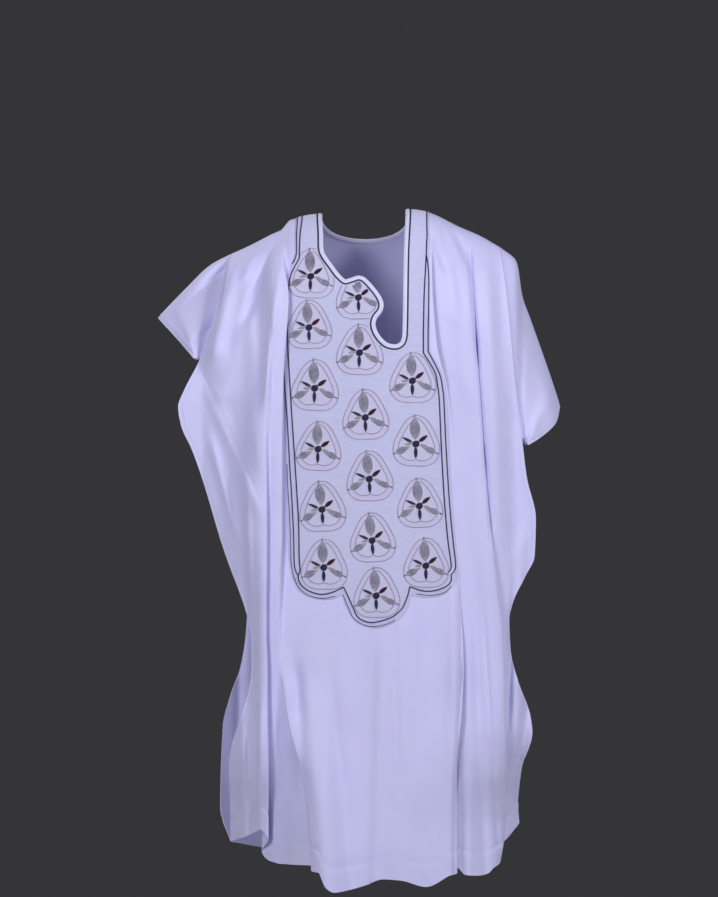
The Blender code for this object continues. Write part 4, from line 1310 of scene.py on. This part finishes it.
# Small streaks between the leaves, with the same columns but the belly
STREAKS = [
    (184, 7, 19, 1.5, 3, 0.4, 5), (168, 7, 15, 0.9, 2, 0.3, 4), (-8, 7, 19, 1.5, 3, 0.4, 5),
    (155, 23, 28, 0.6, 2, 0.2, 4),
]
flower_parts = {
    "mauve": [ring_line(1.0), ring_line(INNER_SHARE, 6.0, 2.4)],
    "grey": [line for leaf in LEAVES for line in blade(*leaf)],
    "tan": [line for streak in STREAKS for line in blade(*streak)],
    "burgundy": blade(37, 7, 24.5, 2.9, 6, 0.9, 7),
    "dark": (blade(272, 6, 24, 2.4, 5, 0.9, 7) + blade(155, 7, 24, 1.6, 4, 0.7, 7)
             + [coil(6.0, 4.2, 1.4)]),
    "tips": ticks(94, 46) + ticks(206, 38.5) + ticks(-22, 38.5),
}


def stretches(kept):
    """The unbroken stretches of two places or more where a mask holds."""
    marks = np.flatnonzero(np.diff(np.concatenate([[0], kept.astype(int), [0]])))
    return [slice(first, last) for first, last in zip(marks[::2], marks[1::2]) if last - first > 1]


dice = np.random.default_rng(11)
drawn = {key: [] for key in flower_parts}
for across, height in flowers:
    lean = math.radians(dice.uniform(-3.0, 3.0))
    grow = dice.uniform(0.98, 1.03)
    turn = np.array([[math.cos(lean), math.sin(lean)], [-math.sin(lean), math.cos(lean)]]) * grow
    for key, lines in flower_parts.items():
        for points, lifts in lines:
            places = points @ turn + (across, height)
            for span in stretches(inside(places, field) & ~inside(places, opening)):
                lift = PANEL_TOP + FLOWER_LIFT + lifts[span]
                drawn[key].append(laid(front_tree, places[span], lift)[0])
# Kinds of flower thread: material, radius in metres, sides
KINDS = {
    "mauve": (mauve_thread, 0.00065, 5), "grey": (grey_thread, 0.00052, 4),
    "tan": (tan_thread, 0.0004, 4),
    "burgundy": (burgundy_thread, 0.0006, 4), "dark": (dark_thread, 0.00075, 5),
    "tips": (dark_thread, 0.00035, 4),
}
embroidery = {}
for key, (material, radius, sides) in KINDS.items():
    embroidery[key] = sewn("flowers_" + key, drawn[key], threads, radius=radius, sides=sides,
                           material=material)

# %% [markdown]
# ## Hem stitches
#
# A line of small stitches holds every doubled hem: round the bottom, down the open sides and
# along the free edges of the turned sleeves.

# %% Hem stitches
def line_inside(grid, out, from_rim, distance, axis):
    """A line on the cloth's outside, a distance in from a rim, across rows (1) or columns (0)."""
    if axis == 0:
        grid, out, from_rim = grid.swapaxes(0, 1), out.swapaxes(0, 1), from_rim.swapaxes(0, 1)
    lifted = grid + out * (CLOTH_WALL / 2 + STITCH_LIFT)
    line = []
    for points, away in zip(lifted, from_rim):
        order = np.argsort(away)
        line.append([np.interp(distance, away[order], points[order, k]) for k in range(3)])
    return np.array(line)


hem_lines = []
for grid, out in ((front_grid, front_out), (back_grid, back_out)):
    hem_lines.append(line_inside(grid, out, to_last(grid, 0), HEM_BAND, 0))
    low = grid[:, 0, 2] < SLEEVE_RIGHT["foot"] - 10
    hem_lines.append(line_inside(grid, out, lengths(grid, 1), SIDE_BAND, 1)[low])
    low = grid[:, -1, 2] < SLEEVE_LEFT["foot"] - 10
    hem_lines.append(line_inside(grid, out, to_last(grid, 1), SIDE_BAND, 1)[low])
for grid, out in ((right_sleeve_grid, right_sleeve_out), (left_sleeve_grid, left_sleeve_out)):
    hem_lines.append(line_inside(grid, out, to_last(grid, 1), SIDE_BAND, 1))
hem_stitches = sewn("hem_stitches", hem_lines, stitches, pitch=0.004, length=0.0015,
                    radius=0.0004, material=white_thread)

# %% [markdown]
# ## Which solid each piece stands for
#
# Every cloth piece replaces the plain solid of the same shape, rides on the robe's one body,
# and says how large its flat cut is.

# %% Riding, replacing and flat cuts
# Piece, solid that it replaces, slot, flat width and length, area of the real outline
MADE = [
    (front_body, "body_front", "robe_cloth", (0.36, 1.22), 0.33),
    (front_right_wing, "wing_right_front", "robe_cloth", (0.22, 1.16), 0.205),
    (front_left_wing, "wing_left_front", "robe_cloth", (0.24, 1.17), 0.212),
    (back_body, "body_back", "robe_cloth", (0.34, 1.2), 0.362),
    (back_right_wing, "wing_right_back", "robe_cloth", (0.2, 1.14), 0.178),
    (back_left_wing, "wing_left_back", "robe_cloth", (0.22, 1.15), 0.188),
    (right_sleeve, "turned_sleeve_right", "robe_cloth", (0.15, 0.44), 0.039),
    (left_sleeve, "turned_sleeve_left", "robe_cloth", (0.16, 0.74), 0.065),
    (chest_panel, "chest_panel", "panel_ground", (0.3, 0.74), 0.166),
    (binding, "neck_binding", "binding", (0.0145, 0.66), None),
    (piping, "neck_piping", "dark_thread", None, None),
]
for piece, node, slot, flat, area in MADE:
    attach(piece, "root")
    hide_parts(node)
    half = 0.5 * sum(polygon.area for polygon in piece.data.polygons)
    print(piece.name, "cloth area", round(half, 4), "flat", flat)
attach(back_band, "root")
# Piece, slot
ADDED = [
    (border, "dark_thread"), (outer_border, "dark_thread"), (fine_border, "dark_thread"),
    (edge_stitches, "binding"), (hem_stitches, "robe_cloth"),
    (embroidery["mauve"], "mauve_thread"), (embroidery["grey"], "grey_thread"),
    (embroidery["tan"], "mauve_thread"), (embroidery["burgundy"], "burgundy_thread"),
    (embroidery["dark"], "dark_thread"), (embroidery["tips"], "dark_thread"),
]
for piece, slot in ADDED:
    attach(piece, "root")

# %% [markdown]
# ## A pale studio
#
# A plain pale floor that ends before a dark grey room, one soft light from the front on the
# wearer's left, a weaker one on the other side, a rim light, and a camera level with the middle
# of the robe, far off with a long lens, as in the photo.

# %% Floor, lights and camera
FLOOR_HEIGHT, FLOOR_HALF = -1.56, 4.8
floor_corners = [(x * FLOOR_HALF, y * FLOOR_HALF, FLOOR_HEIGHT)
                 for x, y in ((-1, -1), (1, -1), (1, 1), (-1, 1))]
floor_mesh = bpy.data.meshes.new("studio_floor")
floor_mesh.from_pydata(floor_corners, [], [(0, 1, 2, 3)])
studio_floor = link(bpy.data.objects.new("studio_floor", floor_mesh))
floor_shader = Shader("studio_floor", 0.9)
grain = floor_shader.noise(floor_shader.place()[0], 3.0)
floor_shader.colour(floor_shader.mix(grain, (0.66, 0.67, 0.64, 1), (0.72, 0.73, 0.70, 1)))
floor_mesh.materials.append(floor_shader.material)


def area_light(name, place, aim, size, power, colour):
    """A soft square light at a place, turned to its aim."""
    data = bpy.data.lights.new(name, "AREA")
    data.shape = "RECTANGLE"
    data.size, data.size_y = size
    data.energy = power
    data.color = colour
    obj = link(bpy.data.objects.new(name, data))
    obj.location = place
    obj.rotation_euler = (Vector(aim) - Vector(place)).to_track_quat("-Z", "Y").to_euler()
    return obj


COOL, RIM_COOL = (0.85, 0.845, 1.0), (0.88, 0.87, 1.0)
# Name, place, aim, size, power, colour
LIGHTS = [
    ("key", (2.4, -2.3, 1.7), (0, 0, -0.4), (0.7, 0.9), 98, COOL),
    ("fill", (-1.9, -3.1, 1.0), (0, 0, -0.35), (0.9, 1.4), 76, COOL),
    ("rim", (-1.8, 2.1, 1.2), (0, 0, -0.4), (1.6, 1.8), 34, RIM_COOL),
]
for row in LIGHTS:
    area_light(*row)
world = bpy.data.worlds.new("studio_air")
world.use_nodes = True
world.node_tree.nodes["Background"].inputs["Color"].default_value = (0.90, 0.86, 0.97, 1)
world.node_tree.nodes["Background"].inputs["Strength"].default_value = 0.04
bpy.context.scene.world = world
bpy.context.scene.view_settings.view_transform = "Standard"
bpy.context.scene.view_settings.look = "None"

FRAME_HEIGHT, LENS, SENSOR = 1.570, 180.0, 24.0
camera_data = bpy.data.cameras.new("camera")
camera_data.sensor_fit = "VERTICAL"
camera_data.sensor_height = SENSOR
camera_data.lens = LENS
camera = link(bpy.data.objects.new("camera", camera_data))
camera.location = (-0.0105, -0.08 - FRAME_HEIGHT * LENS / SENSOR, -0.414)
camera.rotation_euler = (math.radians(90), 0, 0)
bpy.context.scene.camera = camera
